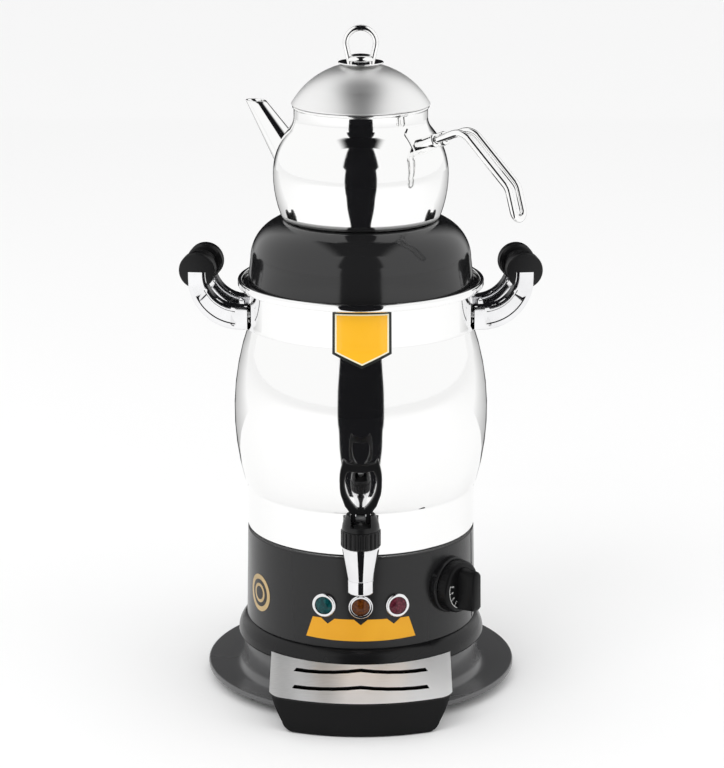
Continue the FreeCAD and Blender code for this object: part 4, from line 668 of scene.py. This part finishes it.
# The pointer bar: long sides that taper upwards, rounded ends and a crowned top
BAR_HALF, BAR_LENGTH = 7.0, 15.0
bar_foot = outline_points([(-7.0, -15.3), (7.0, -15.3, 12), (6.2, 12.4), (-6.2, 12.4, 7)], 0)
bar_rows = [[(x * (1 - narrow / BAR_HALF), y * (1 - pull / BAR_LENGTH), height) for x, y in bar_foot]
            for height, narrow, pull in (
                (12.0, 0.0, 0.0), (13.4, 0.2, 0.1), (20.0, 1.0, 0.5), (25.4, 1.7, 0.9), (26.5, 2.2, 1.5),
                (27.0, 3.3, 2.8))]
dress(lofted("knob_bar", bar_rows, 50), "knob", "black_plastic", knob_plastic, place=knob_spot)
print_white = new_material("white_print", base_color=(0.75, 0.75, 0.74), roughness=0.5)
wear(print_white, 260.0, 0.25, colours=((0.7, 0.7, 0.69), (0.8, 0.8, 0.79)))
SKIRT_TOP, DIAL_START, DIAL_STEP, NUMBER_REACH = 12.8, 176, 22, 12.7


def band_on_skirt(name, start, end, inner, outer):
    """A printed arc on the skirt's flat top, from one angle to another."""
    steps = max(2, int(abs(end - start) / 4))
    angles = [radians(start + (end - start) * k / steps) for k in range(steps + 1)]
    corners = [(outer * sin(a), outer * cos(a)) for a in angles]
    corners += [(inner * sin(a), inner * cos(a)) for a in reversed(angles)]
    rows = [[(x, y, height) for x, y in corners] for height in (SKIRT_TOP - 0.08, SKIRT_TOP + 0.07)]
    dress(lofted(name, rows, 0), "knob", "black_plastic", print_white, place=knob_spot)


dial_marks = [DIAL_START + DIAL_STEP * number for number in range(6)]
band_on_skirt("dial_arc", dial_marks[0], dial_marks[-1], 15.9, 16.3)
for number, mark in enumerate(dial_marks):
    band_on_skirt(f"dial_tick_{number}", mark - 0.9, mark + 0.9, 14.6, 15.9)
for number, mark in enumerate(dial_marks):
    angle = radians(mark)
    words = bpy.data.curves.new(f"dial_number_{number}", "FONT")
    words.body = str(number)
    words.size = 0.0034
    words.extrude = 0.00008
    words.align_x = words.align_y = "CENTER"
    digit = new_object(f"dial_number_{number}", mesh_from(words))
    spot = Matrix.Translation(Vector((NUMBER_REACH * sin(angle), NUMBER_REACH * cos(angle), 12.85)) * 0.001)
    dress(digit, "knob", "black_plastic", print_white, place=knob_spot @ spot @ Matrix.Rotation(-angle, 4, "Z"))
cream_plastic = new_material("case_plastic", base_color=(0.72, 0.69, 0.62), roughness=0.55)
feed(cream_plastic, "Normal", place_effect(cream_plastic, skin, Size=900.0, Depth=0.15))
finish_nodes(cream_plastic, "thermostat_body", "terminal_block", "safety_limiter")
finish_nodes(zinc, "thermostat_shaft")


# Cable gland: a moulded screw bush at the back, with a nut inside, where the mains
# cord would come in.

gland_spot = outward(180.0, 89.0, 64.0)
dress(spun("cable_bush", [
    (3.8, -14), (6.5, -14), (6.5, -1.6), (9.0, -0.6), (9.0, 3.0), (7.6, 4.0), (6.2, 14.0), (5.2, 15.0),
    (3.8, 15.0)],
    turns=96, soften=0.3), "boiler", "black_plastic", plastic, "cable_gland", place=gland_spot)
finish_nodes(plastic, "gland_nut")


# Urn: spun from stainless sheet and polished to a mirror, with a step above its
# straight foot, a long belly, a neck and a rolled rim. The floor is welded in.

# Effect: hair-fine lines round the axis that spinning and polishing leave
lathe, lathe_in, lathe_out = effect("lathe_lines", "Lines", "NodeSocketFloat", Count=900.0)
lathe_place = parts(lathe, own_place(lathe))
lathe_square = node(lathe, "CombineXYZ", {"X": lathe_place["X"], "Y": lathe_place["Y"]})
lathe_reach = node(lathe, "VectorMath", {0: lathe_square.outputs["Vector"]}, operation="LENGTH")
lathe_spot = node(lathe, "CombineXYZ", {"X": lathe_reach.outputs["Value"], "Y": lathe_place["Z"]})
lathe_noise = node(lathe, "TexNoise", {
    "Vector": lathe_spot.outputs["Vector"], "Scale": lathe_in["Count"], "Detail": 4.0}, noise_dimensions="2D")
link(lathe, lathe_noise.outputs["Fac"], lathe_out)


def spun_steel(name, colour, low, high, count, depth):
    """Stainless steel with lines round the axis, in gloss and in relief."""
    material = new_material(name, base_color=colour, metallic=1.0, roughness=low)
    lines = place_effect(material, lathe, Count=count)
    patches = wear(material, 5.0, 0.3)
    gloss(material, maths(material, "MULTIPLY", lines, spread(material, patches, 0.6, 1.3)), low, high)
    relief = node(material, "Bump", {"Strength": depth, "Distance": 0.00005, "Height": lines})
    feed(material, "Normal", relief.outputs["Normal"])
    return material


mirror_steel = spun_steel("mirror_steel", (0.96, 0.96, 0.955), 0.03, 0.09, 700.0, 0.04)
satin_steel = spun_steel("satin_steel", (0.93, 0.93, 0.925), 0.34, 0.5, 1500.0, 0.2)

BELLY_RADIUS, BELLY_HEIGHT, BELLY_CURVE, NECK_RADIUS = 97.4, 214.0, 200.0, 85.6
BELLY_FOOT, BELLY_HEAD = 159.5, 281.0


def belly(height, inset=0.0):
    """The belly's radius at a height, on its outer face or inside it."""
    curve = BELLY_CURVE - inset
    return BELLY_RADIUS - inset - curve + sqrt(curve ** 2 - (height - BELLY_HEIGHT) ** 2)


dress(spun("urn_shell", [
    (86.4, 112), (86.4, 121.4), (87.8, 123.6, -3), (87.8, 155.5), (belly(BELLY_FOOT), BELLY_FOOT),
    (belly(BELLY_HEAD), BELLY_HEAD, BELLY_CURVE), (NECK_RADIUS, 285, -9), (NECK_RADIUS, 311.5), (91.2, 311.5),
    (93.8, 314.1, 2.6), (93.8, 316.4), (90.6, 316.4, 1.62), (90.6, 313), (84.1, 313), (84.1, 285),
    (belly(BELLY_HEAD, 1.5), BELLY_HEAD, 10),
    (belly(BELLY_FOOT, 1.5), BELLY_FOOT, 1.5 - BELLY_CURVE), (86.3, 155.5), (86.3, 127.5), (83.3, 124.5, -3),
    (0, 124.5), (0, 123), (84.9, 123), (84.9, 112),
], turns=320, soften=0.7), "boiler", "polished_steel", mirror_steel, "urn_body", "urn_floor")

scale_steel = metal_finish("heater_sheath", (0.46, 0.44, 0.42), (0.33, 0.3, 0.27), 0.34, 0.55, 70.0)
seal_rubber = dark_finish("silicone_seal", (0.42, 0.07, 0.045), (0.5, 0.1, 0.07), 0.5, 0.62, 800.0, 0.1, 0.4)
brass = metal_finish("turned_brass", (0.78, 0.58, 0.26), (0.6, 0.43, 0.2), 0.2, 0.36, 80.0)
finish_nodes(scale_steel, "heating_element")
finish_nodes(seal_rubber, "heater_gaskets", "tap_washers", "valve_washer")
finish_nodes(brass, "heater_nuts", "tap_nut")
finish_nodes(zinc, "arm_screws", "grip_rods")


def urn_side(height):
    """The urn's outer radius under the badge."""
    return max(NECK_RADIUS, belly(height)) if height < BELLY_HEAD else NECK_RADIUS + 0.2


# The badge: a bare enamelled pennant with a cream border line
BADGE_AZIMUTH = 0.6


def pennant(half, top, shoulder, tip):
    """The badge's outline: its half width, and the heights of its top, shoulders and tip."""
    return [(BADGE_AZIMUTH - half, top), (BADGE_AZIMUTH - half, shoulder), (BADGE_AZIMUTH, tip),
            (BADGE_AZIMUTH + half, shoulder), (BADGE_AZIMUTH + half, top)]


badge_dark = dark_finish("badge_border", (0.016, 0.018, 0.016), (0.03, 0.03, 0.03), 0.24, 0.32, 500.0, 0.02, 0.4)
badge_cream = new_material("badge_cream", base_color=(0.86, 0.82, 0.6), roughness=0.35, coat_weight=0.4)
wear(badge_cream, 60.0, 0.2, (0.28, 0.42))
badge_yellow = new_material("badge_yellow", base_color=(0.96, 0.485, 0.004), roughness=0.33, coat_weight=0.4)
wear(badge_yellow, 50.0, 0.2, (0.26, 0.4))
for name, half, top, shoulder, tip, proud, paint in (
        ("badge_edge", 14.6, 310.6, 278.6, 268.8, 0.25, badge_dark),
        ("badge_line", 13.3, 308.9, 279.8, 271.0, 0.33, badge_cream),
        ("badge_field", 12.5, 307.9, 280.4, 272.2, 0.41, badge_yellow)):
    dress(wrapped(name, pennant(half, top, shoulder, tip), urn_side, proud, 0.3), "boiler", "polished_steel", paint)


# Urn handles: on each side two moulded arms, screwed on from inside the urn, carry a
# ribbed grip. Each arm is a quarter ring with a sunk panel on both broad faces.

GRIP_AZIMUTH, GRIP_REACH, GRIP_HEIGHT = 97.3, 123.2, 323.2
ARM_HALF, ARM_MIDDLE = 4.3, 18.0
OUTER_MIDDLE, OUTER_BEND = (GRIP_REACH + 6.75 - 38.5, 317.0), 38.5
INNER_MIDDLE, INNER_BEND = (GRIP_REACH - 6.75 - 24.0, 321.0), 24.0


def on_side(side):
    """A turn that carries +X to one of the two handles."""
    return Matrix.Rotation(radians(side * GRIP_AZIMUTH - 90.0), 4, "Z")


def arm_stations():
    """Pairs of outer and inner edge points along an arm, from the urn up to the grip."""
    pairs = [((84.5, 278.5), (84.5, 297.0), 0.0), ((88.0, 278.5), (88.0, 297.0), 0.0)]
    steps = 26
    for step in range(steps + 1):
        share = step / steps
        turn = radians(90 * share - 90)
        outer, inner = ((middle[0] + bend * cos(turn), middle[1] + bend * sin(turn))
                        for middle, bend in ((OUTER_MIDDLE, OUTER_BEND), (INNER_MIDDLE, INNER_BEND)))
        sunk = min(1.0, max(0.0, (share - 0.04) / 0.05)) * min(1.0, max(0.0, (0.7 - share) / 0.05))
        pairs.append((outer, inner, sunk))
    pairs.append(((OUTER_MIDDLE[0] + OUTER_BEND, 322.4), (INNER_MIDDLE[0] + INNER_BEND, 322.4), 0.0))
    return pairs


# Across an arm: the share of its height, and of its half thickness; -1 is the panel
PANEL_DEPTH = 0.95
arm_across = ((0.0, 0.86), (0.028, 0.97), (0.075, 1.0), (0.225, 1.0), (0.265, -1.0), (0.735, -1.0), (0.775, 1.0),
              (0.925, 1.0), (0.972, 0.97), (1.0, 0.86))


def arm_mesh(name, middle):
    """One arm, lofted through its stations: chamfered edges and a sunk panel each side."""
    rows = []
    for outer, inner, sunk in arm_stations():
        near, far = (
            [(outer[0] + (inner[0] - outer[0]) * share,
              middle + face * (ARM_HALF * thick if thick > 0 else ARM_HALF - PANEL_DEPTH * sunk),
              outer[1] + (inner[1] - outer[1]) * share) for share, thick in arm_across] for face in (1, -1))
        rows.append(near + far[::-1])
    return lofted(name, rows, 32, clockwise=True)


# The four steps among an arm's faces, counted round its section
PANEL_SIDES = (3, 5, 13, 15)
# Near black metal for the step walls: painted shade in the creases round the sunk panels
step_shade_finish = metal_finish("painted_step_shade", (0.03, 0.03, 0.032), (0.014, 0.014, 0.015), 0.4, 0.6, 400.0)


def darken_steps(arm):
    """Paint the step walls round an arm's sunk panels near black, as painted shade in the creases."""
    arm.data.materials.append(step_shade_finish)
    sunk = [station[2] for station in arm_stations()]
    for number, face in enumerate(arm.data.polygons):
        row, side = divmod(number, 2 * len(arm_across))
        if row < len(sunk) - 1 and side in PANEL_SIDES and sunk[row] + sunk[row + 1] > 0:
            face.material_index = 1


GRIP_HALF, CAP_RADIUS, BARREL_RADIUS, CAP_INNER = 21.5, 13.9, 9.8, 10.5
RIBS, RIB_PITCH, RIB_DEPTH = 5, 4.2, 1.3
RIB_FOOT = BARREL_RADIUS - RIB_DEPTH
grip_side = [(0, -GRIP_HALF), (CAP_RADIUS - 1.2, -GRIP_HALF), (CAP_RADIUS, 1.2 - GRIP_HALF, 1.4),
             (CAP_RADIUS, -CAP_INNER - 1.6), (CAP_RADIUS - 1.4, -CAP_INNER)]
for rib in range(RIBS):
    low = -CAP_INNER + RIB_PITCH * rib
    grip_side += [(RIB_FOOT, low + 0.1), (RIB_FOOT, low + 0.8),
                  (BARREL_RADIUS, low + 1.8), (BARREL_RADIUS, low + 3.2)]
grip_side += [(RIB_FOOT, CAP_INNER - 0.1), (CAP_RADIUS - 1.4, CAP_INNER), (CAP_RADIUS, CAP_INNER + 1.6),
              (CAP_RADIUS, GRIP_HALF - 1.2), (CAP_RADIUS - 1.2, GRIP_HALF, 1.4), (0, GRIP_HALF)]
for word, side in (("left", -1), ("right", 1)):
    turn = on_side(side)
    for reach, hand, stands_for in (("near", -1, [f"{word}_handle_arms"]), ("far", 1, [])):
        arm = arm_mesh(f"{word}_arm_{reach}", hand * ARM_MIDDLE)
        dress(arm, "boiler", "chrome_plate", chrome, *stands_for, place=turn)
        darken_steps(arm)
    grip_spot = turn @ Matrix.Translation((GRIP_REACH * 0.001, 0, GRIP_HEIGHT * 0.001))
    dress(spun(f"{word}_handle_grip", grip_side, turns=96, soften=0.35), "boiler", "black_plastic", plastic,
          f"{word}_grip", place=grip_spot @ Matrix.Rotation(radians(-90), 4, "X"))


# Tap: a chromed casting whose shank goes through the urn's wall. A knurled collar
# clamps the bonnet, and the lever lifts the stem against a spring inside.

TAP_REACH = 135.0
tap_spot = Matrix.Translation((0, -TAP_REACH * 0.001, 0))
dress(spun("tap_spout", [
    (7.6, 111.3), (9.2, 111.3), (9.6, 112.1), (9.6, 121.0), (9.3, 121.4), (9.7, 121.8), (13.7, 145.4),
    (12.9, 147.4, 2.4), (11.4, 147.4), (11.4, 151.0), (10.4, 151.0), (10.4, 131.0), (7.6, 131.0)],
    turns=144, soften=0.25), "boiler", "chrome_plate", chrome, "tap_body", place=tap_spot)
shank_spot = outward(0.0, 78.0, 139.0)
dress(spun("tap_shank", [
    (5.0, 0), (8.0, 0), (8.0, 13.5), (12.5, 13.5), (12.5, 16.5), (8.0, 16.5), (8.0, 46.0), (5.0, 46.0)],
    turns=96, soften=0.4), "boiler", "chrome_plate", chrome, place=shank_spot)


GROOVES, GROOVE_DEPTH = 24, 0.85


def knurled(point, angle):
    """Upright grooves round the collar."""
    radius, height = point
    if radius < 14.0:
        return radius
    return radius - GROOVE_DEPTH * (0.5 + 0.5 * cos(angle * GROOVES)) ** 4


dress(spun("tap_knurled_collar", [
    (11.4, 147.4), (14.2, 147.4), (14.7, 148.2), (14.7, 159.0), (13.7, 160.0), (11.4, 160.0)],
    turns=384, soften=0.25, ripple=knurled), "boiler", "black_plastic", plastic, "tap_collar", place=tap_spot)


def cut_away(thing, low, high):
    """Cut a block-shaped slot out of a piece, for good."""
    corners = [(x, y, z) for x in (low[0], high[0]) for y in (low[1], high[1]) for z in (low[2], high[2])]
    tool = mesh_object("slot_cutter", corners, [
        (0, 1, 3, 2), (4, 6, 7, 5), (0, 4, 5, 1), (2, 3, 7, 6), (0, 2, 6, 4), (1, 5, 7, 3)])
    cutting = thing.modifiers.new("slot", "BOOLEAN")
    cutting.object = tool
    cutting.solver = "EXACT"
    bpy.context.view_layer.update()
    result = final_mesh(thing)
    thing.modifiers.clear()
    thing.data = result
    bpy.data.objects.remove(tool)
    return smooth(thing, 32)


bonnet = spun("tap_bell", [
    (2.25, 151), (11.4, 151), (11.4, 160), (13.6, 160), (13.8, 161.2), (10.6, 171.4, 26), (2.25, 171.4)],
    turns=144, soften=0.5)
dress(cut_away(bonnet, (-7.4, -20, 164), (7.4, 20, 200)), "boiler", "black_plastic", plastic, "tap_bonnet",
      place=tap_spot)
finish_nodes(zinc, "valve_stem")
finish_nodes(zinc, "lever_pin", "closing_spring")


def plate_with_rounded_edges(name, outer, holes, thickness, rounding):
    """A flat plate lying in its own plane, with every edge rounded over."""
    outlines = [[(x * 0.001, y * 0.001) for x, y in outline_points(corners, 0)] for corners in [outer] + holes]
    return smooth(new_object(name, filled(
        name, outlines, extrude=(thickness / 2 - rounding) * 0.001, bevel_depth=rounding * 0.001,
        bevel_resolution=3, offset=-rounding * 0.001)), 35)


lever_side = [(6.9, 164.7), (6.9, 171.8), (7.9, 172.8), (11.6, 178.0), (14.6, 186.5)]
lever_outline = lever_side + [
    (15.4, 195.5, 40), (13.6, 209.5, 36), (12.6, 213.3, 8), (10.6, 211.2, 3), (-10.6, 211.2, -26),
    (-12.6, 213.3, 3), (-13.6, 209.5, 8), (-15.4, 195.5, 36), (-14.6, 186.5, 40)]
lever_outline += [(-x, z) for x, z in reversed(lever_side[:-1])]
lever_outline += [(-3.9, 164.7), (-3.9, 171.7), (3.9, 171.7), (3.9, 164.7)]
lever_window = [
    (2.4, 176.0), (10.2, 187.5, 30), (11.6, 196.5, 30), (9.0, 204.6, 14), (-9.0, 204.6, -34), (-11.6, 196.5, 14),
    (-10.2, 187.5, 30), (-2.4, 176.0, 30)]
lever = plate_with_rounded_edges("tap_lever_loop", lever_outline, [lever_window], 6.0, 0.9)
dress(lever, "lever", "black_plastic", plastic, "tap_lever", place=tap_spot @ Matrix.Rotation(radians(90), 4, "X"))


# Cover: an enamelled dome spun from steel sheet. Its lip drops into the urn, and
# the teapot stands on the flat round its steam hole.

cover_enamel = dark_finish(
    "cover_enamel", (0.013, 0.013, 0.0135), (0.03, 0.03, 0.031), 0.06, 0.13, 160.0, 0.03, 0.6)
dress(spun("domed_cover", [
    (82.1, 305), (83.6, 305), (83.6, 313.3), (90, 313.3), (90, 314.8), (86.2, 314.8), (84, 333), (68.4, 359.8, 31),
    (60.4, 363.7, 40), (42, 363.7), (40, 361.7, 2), (40, 356.7), (41.5, 356.7), (41.5, 362.2), (60.1, 362.2),
    (67.7, 358.4, -40), (82.5, 332.9, -29.5), (82.1, 314.8)],
    turns=256, soften=0.4), "cover", "black_enamel", cover_enamel, "dome_cover")


# Teapot: a drawn stainless body with a flat foot and a beaded rim, a conical spout
# welded over strainer holes, and a bracket for the rod handle.

POT_LOW, POT_HIGH = 89.0, 53.0
POT_WIDEST, POT_MIDDLE = 66.3, 398.0
POT_NECK, NECK_FOOT = 50.4, 441.5


def pot_points(inset):
    """The pot's side at its low and high joints, at a depth inside its outer face."""
    low, high = POT_LOW - inset, POT_HIGH - inset
    rise = 33.6 - 0.4 * inset
    return ((POT_WIDEST - POT_LOW + sqrt(low ** 2 - 31.0 ** 2), POT_MIDDLE - 31.0),
            (POT_WIDEST - POT_HIGH + sqrt(high ** 2 - rise ** 2), POT_MIDDLE + rise), low, high)


pot_start, pot_shoulder, pot_low, pot_high = pot_points(0.0)
pot_inner_start, pot_inner_shoulder, pot_inner_low, pot_inner_high = pot_points(1.2)
dress(spun("pot_shell", [
    (0, 364), (56.6, 364), (*pot_start, 4.0), (POT_WIDEST, POT_MIDDLE, pot_low), (*pot_shoulder, pot_high),
    (POT_NECK, NECK_FOOT, -14), (POT_NECK, 447.4), (51.6, 448.6), (51.3, 449.8), (49.2, 449.8), (49.2, NECK_FOOT),
    (*pot_inner_shoulder, 15.2), (65.1, POT_MIDDLE, -pot_inner_high), (*pot_inner_start, -pot_inner_low),
    (55.6, 365.2, -4.0), (0, 365.2)],
    turns=288, soften=0.5), "teapot", "polished_steel", mirror_steel, "teapot_body", "teapot_base")

POT_AZIMUTH = 53.0
pot_turn = Matrix.Rotation(radians(POT_AZIMUTH - 90.0), 4, "Z")
spout_turn = Matrix.Rotation(radians(POT_AZIMUTH + 90.0), 4, "Z")
SPOUT_FOOT, SPOUT_TIP = Vector((60.0, 0, 394.5)), Vector((106.0, 0, 447.5))
MOUTH_HEIGHT = 443.6


def spout_ring(share, start_radius, end_radius, level):
    """A ring round the spout, at a share of the way from its foot to its level mouth."""
    along = (SPOUT_TIP - SPOUT_FOOT).normalized()
    up_side = Vector((-along.z, 0, along.x))
    ring = []
    for step in range(96):
        angle = 2 * pi * step / 96
        side = up_side * cos(angle) + Vector((0, 1, 0)) * sin(angle)
        start, end = SPOUT_FOOT + side * start_radius, SPOUT_TIP + side * end_radius
        reach = (MOUTH_HEIGHT + level - start.z) / (end.z - start.z)
        ring.append(tuple(start + (end - start) * min(reach, 1.0) * share))
    return ring


# A cone whose mouth is cut level, with its inside; the foot ends within the pot's wall
shares = [0.04 + 0.96 * k / 24 for k in range(25)]
spout_rows = [spout_ring(share, 14.0, 5.9, 0.0 if share < 1 else -0.35) for share in shares]
spout_rows += [spout_ring(1.0, 13.6, 5.5, 0.0), spout_ring(1.0, 13.2, 5.1, 0.0)]
spout_rows += [spout_ring(share, 12.9, 4.8, 0.0 if share < 1 else -0.35) for share in reversed(shares)]
dress(lofted("pot_spout", spout_rows, 45, ends=False), "teapot", "polished_steel", mirror_steel, "teapot_spout",
      place=spout_turn)


def rod_mesh(name, centre_line, radius, sides=24):
    """A round rod through the points of its centre line, closed at both ends."""
    rows = []
    frame_side = Vector((0, 1, 0))
    for index, spot in enumerate(centre_line):
        ahead = centre_line[min(index + 1, len(centre_line) - 1)] - centre_line[max(index - 1, 0)]
        ahead.normalize()
        first = frame_side - ahead * frame_side.dot(ahead)
        first = first.normalized() if first.length > 1e-4 else ahead.orthogonal().normalized()
        frame_side = first
        second = ahead.cross(first)
        angles = [2 * pi * step / sides for step in range(sides)]
        rows.append([tuple(spot + (first * cos(angle) + second * sin(angle)) * radius) for angle in angles])
    return lofted(name, rows, 50)


def bent_line(corners, radii):
    """Points along a rod's centre line, with a round bend at each inner corner."""
    line = [corners[0]]
    for before, corner, after, radius in zip(corners, corners[1:], corners[2:], radii):
        inward, onward = (before - corner).normalized(), (after - corner).normalized()
        half = inward.angle(onward) / 2
        reach = radius / tan(half)
        middle = corner + (inward + onward).normalized() * (radius / sin(half))
        start, end = corner + inward * reach - middle, corner + onward * reach - middle
        sweep = start.angle(end)
        for step in range(9):
            share = step / 8
            line.append(middle + (start * sin((1 - share) * sweep) + end * sin(share * sweep)) / sin(sweep))
    line.append(corners[-1])
    return line


HALF_GAP, ROD_RADIUS = 6.2, 2.6
socket_foot, socket_end = Vector((50.0, 0, 422.0)), Vector((74.0, 0, 431.8))
socket_line = socket_end - socket_foot
spine = [socket_foot + socket_line * 0.72, socket_foot + socket_line * 1.95,
         Vector((138.0, 0, 403.2)), Vector((142.8, 0, 386.5))]
near_side = bent_line([point + Vector((0, -HALF_GAP, 0)) for point in spine], [14.0, 13.0])
far_side = [Vector((point.x, -point.y, point.z)) for point in reversed(near_side)]
onward = (spine[-1] - spine[-2]).normalized()
end_loop = [spine[-1] + onward * (HALF_GAP * sin(pi * k / 16)) + Vector((0, -HALF_GAP * cos(pi * k / 16), 0))
            for k in range(1, 16)]
dress(rod_mesh("pot_handle_rod", near_side + end_loop + far_side, ROD_RADIUS),
      "teapot", "polished_steel", mirror_steel, "teapot_handle", place=pot_turn)


def pot_radius(height):
    """The pot's outer radius between its widest part and its neck."""
    if height <= pot_shoulder[1]:
        return POT_WIDEST - POT_HIGH + sqrt(POT_HIGH ** 2 - (height - POT_MIDDLE) ** 2)
    share = (height - pot_shoulder[1]) / (NECK_FOOT - pot_shoulder[1])
    return pot_shoulder[0] + (POT_NECK - pot_shoulder[0]) * sin(share * pi / 2)


def bracket_mesh():
    """A plate that follows the pot's shoulder, with rounded ends, 1.4 mm thick."""
    rows, columns, points = 14, 22, []
    for proud in (1.4, -0.6):
        for row in range(rows + 1):
            for column in range(columns + 1):
                share = 2 * column / columns - 1
                pinch = 1 - 0.35 * max(0.0, abs(share) - 0.75) / 0.25
                height = 429.25 + (18.5 * (row / rows - 0.5)) * pinch
                reach = pot_radius(height) + proud
                y = 13.0 * share
                points.append((sqrt(max(1.0, reach ** 2 - y ** 2)), y, height))
    across = columns + 1
    corners = [row * across + column for row in range(rows) for column in range(columns)]
    return two_faced("handle_plate", points, [[a, a + 1, a + across + 1, a + across] for a in corners], 40)


dress(bracket_mesh(), "teapot", "polished_steel", mirror_steel, "handle_bracket", place=pot_turn)
tilt = Vector((0, 0, 1)).rotation_difference(socket_line.normalized()).to_matrix().to_4x4()
for word, hand in (("near", -1), ("far", 1)):
    spot = Matrix.Translation(Vector((socket_foot.x, hand * HALF_GAP, socket_foot.z)) * 0.001) @ tilt
    dress(spun(f"handle_socket_{word}", [
        (0, 4), (5.2, 4), (5.2, 25.0), (4.6, 25.9), (3.0, 25.9), (3.0, 22), (0, 22)], turns=64, soften=0.3),
        "teapot", "polished_steel", mirror_steel, place=pot_turn @ spot)


# Lid: a drawn steel dome with a lip that drops into the pot's neck. A cast ring on a
# round flange is its knob, held by a screw from below.

lid_rise = 481.6 - 451.2
LID_CURVE = (52.2 ** 2 + lid_rise ** 2) / (2 * lid_rise)
dress(spun("lid_dome", [
    (2.1, 480.36), (47.4, 456.4, 1.2 - LID_CURVE), (47.4, 447.2), (48.6, 447.2), (48.6, 450.2), (51.6, 450.2),
    (52.2, 451.2, 1.0), (2.1, 481.56, LID_CURVE)], turns=256, soften=0.3),
    "lid", "satin_steel", satin_steel, "teapot_lid")
dress(spun("ring_flange", [
    (2.0, 480.6), (11.0, 480.6), (11.6, 481.2), (16.8, 481.4), (16.8, 482.3, 0.5), (11.0, 483.4), (9.0, 485.2, -3),
    (4.6, 487.4, 4), (0, 488.2, 13.625), (0, 485.0), (2.0, 485.0)], turns=128, soften=0.2),
    "lid", "polished_steel", mirror_steel, "lid_ring")
RING_MIDDLE, RING_BEND, RING_WIRE, LOOP_STEPS = Vector((0, 0, 496.3)), 11.2, 2.2, 40
ring_foot = Vector((-8.2, 0, 482.0))
foot_away = ring_foot - RING_MIDDLE
lean = acos(RING_BEND / foot_away.length)
foot_turn = atan2(foot_away.z, foot_away.x)
touch_turn = foot_turn - lean if cos(foot_turn - lean) < cos(foot_turn + lean) else foot_turn + lean
touch_turn = touch_turn if touch_turn > 0 else touch_turn + 2 * pi
angles = [touch_turn + (pi - 2 * touch_turn) * step / LOOP_STEPS for step in range(LOOP_STEPS + 1)]
loop = [RING_MIDDLE + Vector((cos(angle), 0, sin(angle))) * RING_BEND for angle in angles]
loop = [ring_foot] + loop + [Vector((8.2, 0, 482.0))]
dress(rod_mesh("ring_loop", loop, RING_WIRE), "lid", "polished_steel", mirror_steel)
finish_nodes(zinc, "lid_screw")


# Drip tray: a moulded basin that hooks over the base dish's lip. Its brushed steel
# plate has two wavy slots that let spilt water through.

tray_plastic = dark_finish("tray_plastic", (0.005, 0.005, 0.0053), None, 0.3, 0.34, 700.0, 0.03, 0.12)
finish_nodes(tray_plastic, "drip_tray")
for name in ("drip_tray", "drip_grille"):
    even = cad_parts[name].modifiers.new("even_shading", "WEIGHTED_NORMAL")
    even.keep_sharp = True
plate_steel = new_material(
    "brushed_plate", base_color=(0.7, 0.7, 0.69), metallic=0.55, roughness=0.3, anisotropic=0.8)
feed(plate_steel, "Tangent", node(plate_steel, "CombineXYZ", {"Y": 1.0}).outputs["Vector"])
plate_place = own_place(plate_steel)


def stretched_noise(stretch, **inputs):
    """Noise drawn out along the drip plate by its own measure on each axis."""
    mapped = node(plate_steel, "Mapping", {"Vector": plate_place, "Scale": stretch})
    return node(plate_steel, "TexNoise", dict(
        inputs, Vector=mapped.outputs["Vector"], Scale=1.0)).outputs["Fac"]


plate_lines = stretched_noise((20.0, 1800.0, 1800.0))
gloss(plate_steel, plate_lines, 0.3, 0.5)
# Broad bands along the plate lighten and darken its colour: a painted sheen that stands for reflections; the fine
# brushing lines are added in as grain
plate_sheen_bands = stretched_noise((26.0, 2.0, 2.0), Detail=1.0)
plate_grain_and_sheen = maths(plate_steel, "MULTIPLY_ADD", plate_lines, 0.25, spread(plate_steel, plate_sheen_bands, -0.6, 1.5))
# Faces that don't face upwards, the slot walls and the plate's edges, are painted near black: painted shade in the
# slots
plate_shape = node(plate_steel, "NewGeometry").outputs["Normal"]
plate_grain_sheen_and_shade = node(plate_steel, "Mix", {
    "Factor": maths(plate_steel, "GREATER_THAN", parts(plate_steel, plate_shape)["Z"], 0.6),
    "A": (0.01, 0.01, 0.01, 1.0),
    "B": colour_ramp(plate_steel, plate_grain_and_sheen, (0.15, (0.5, 0.5, 0.5)), (0.7, (1.0, 1.0, 1.0)))}, data_type="RGBA")
feed(plate_steel, "Base Color", plate_grain_sheen_and_shade.outputs["Result"])
finish_nodes(plate_steel, "drip_grille")
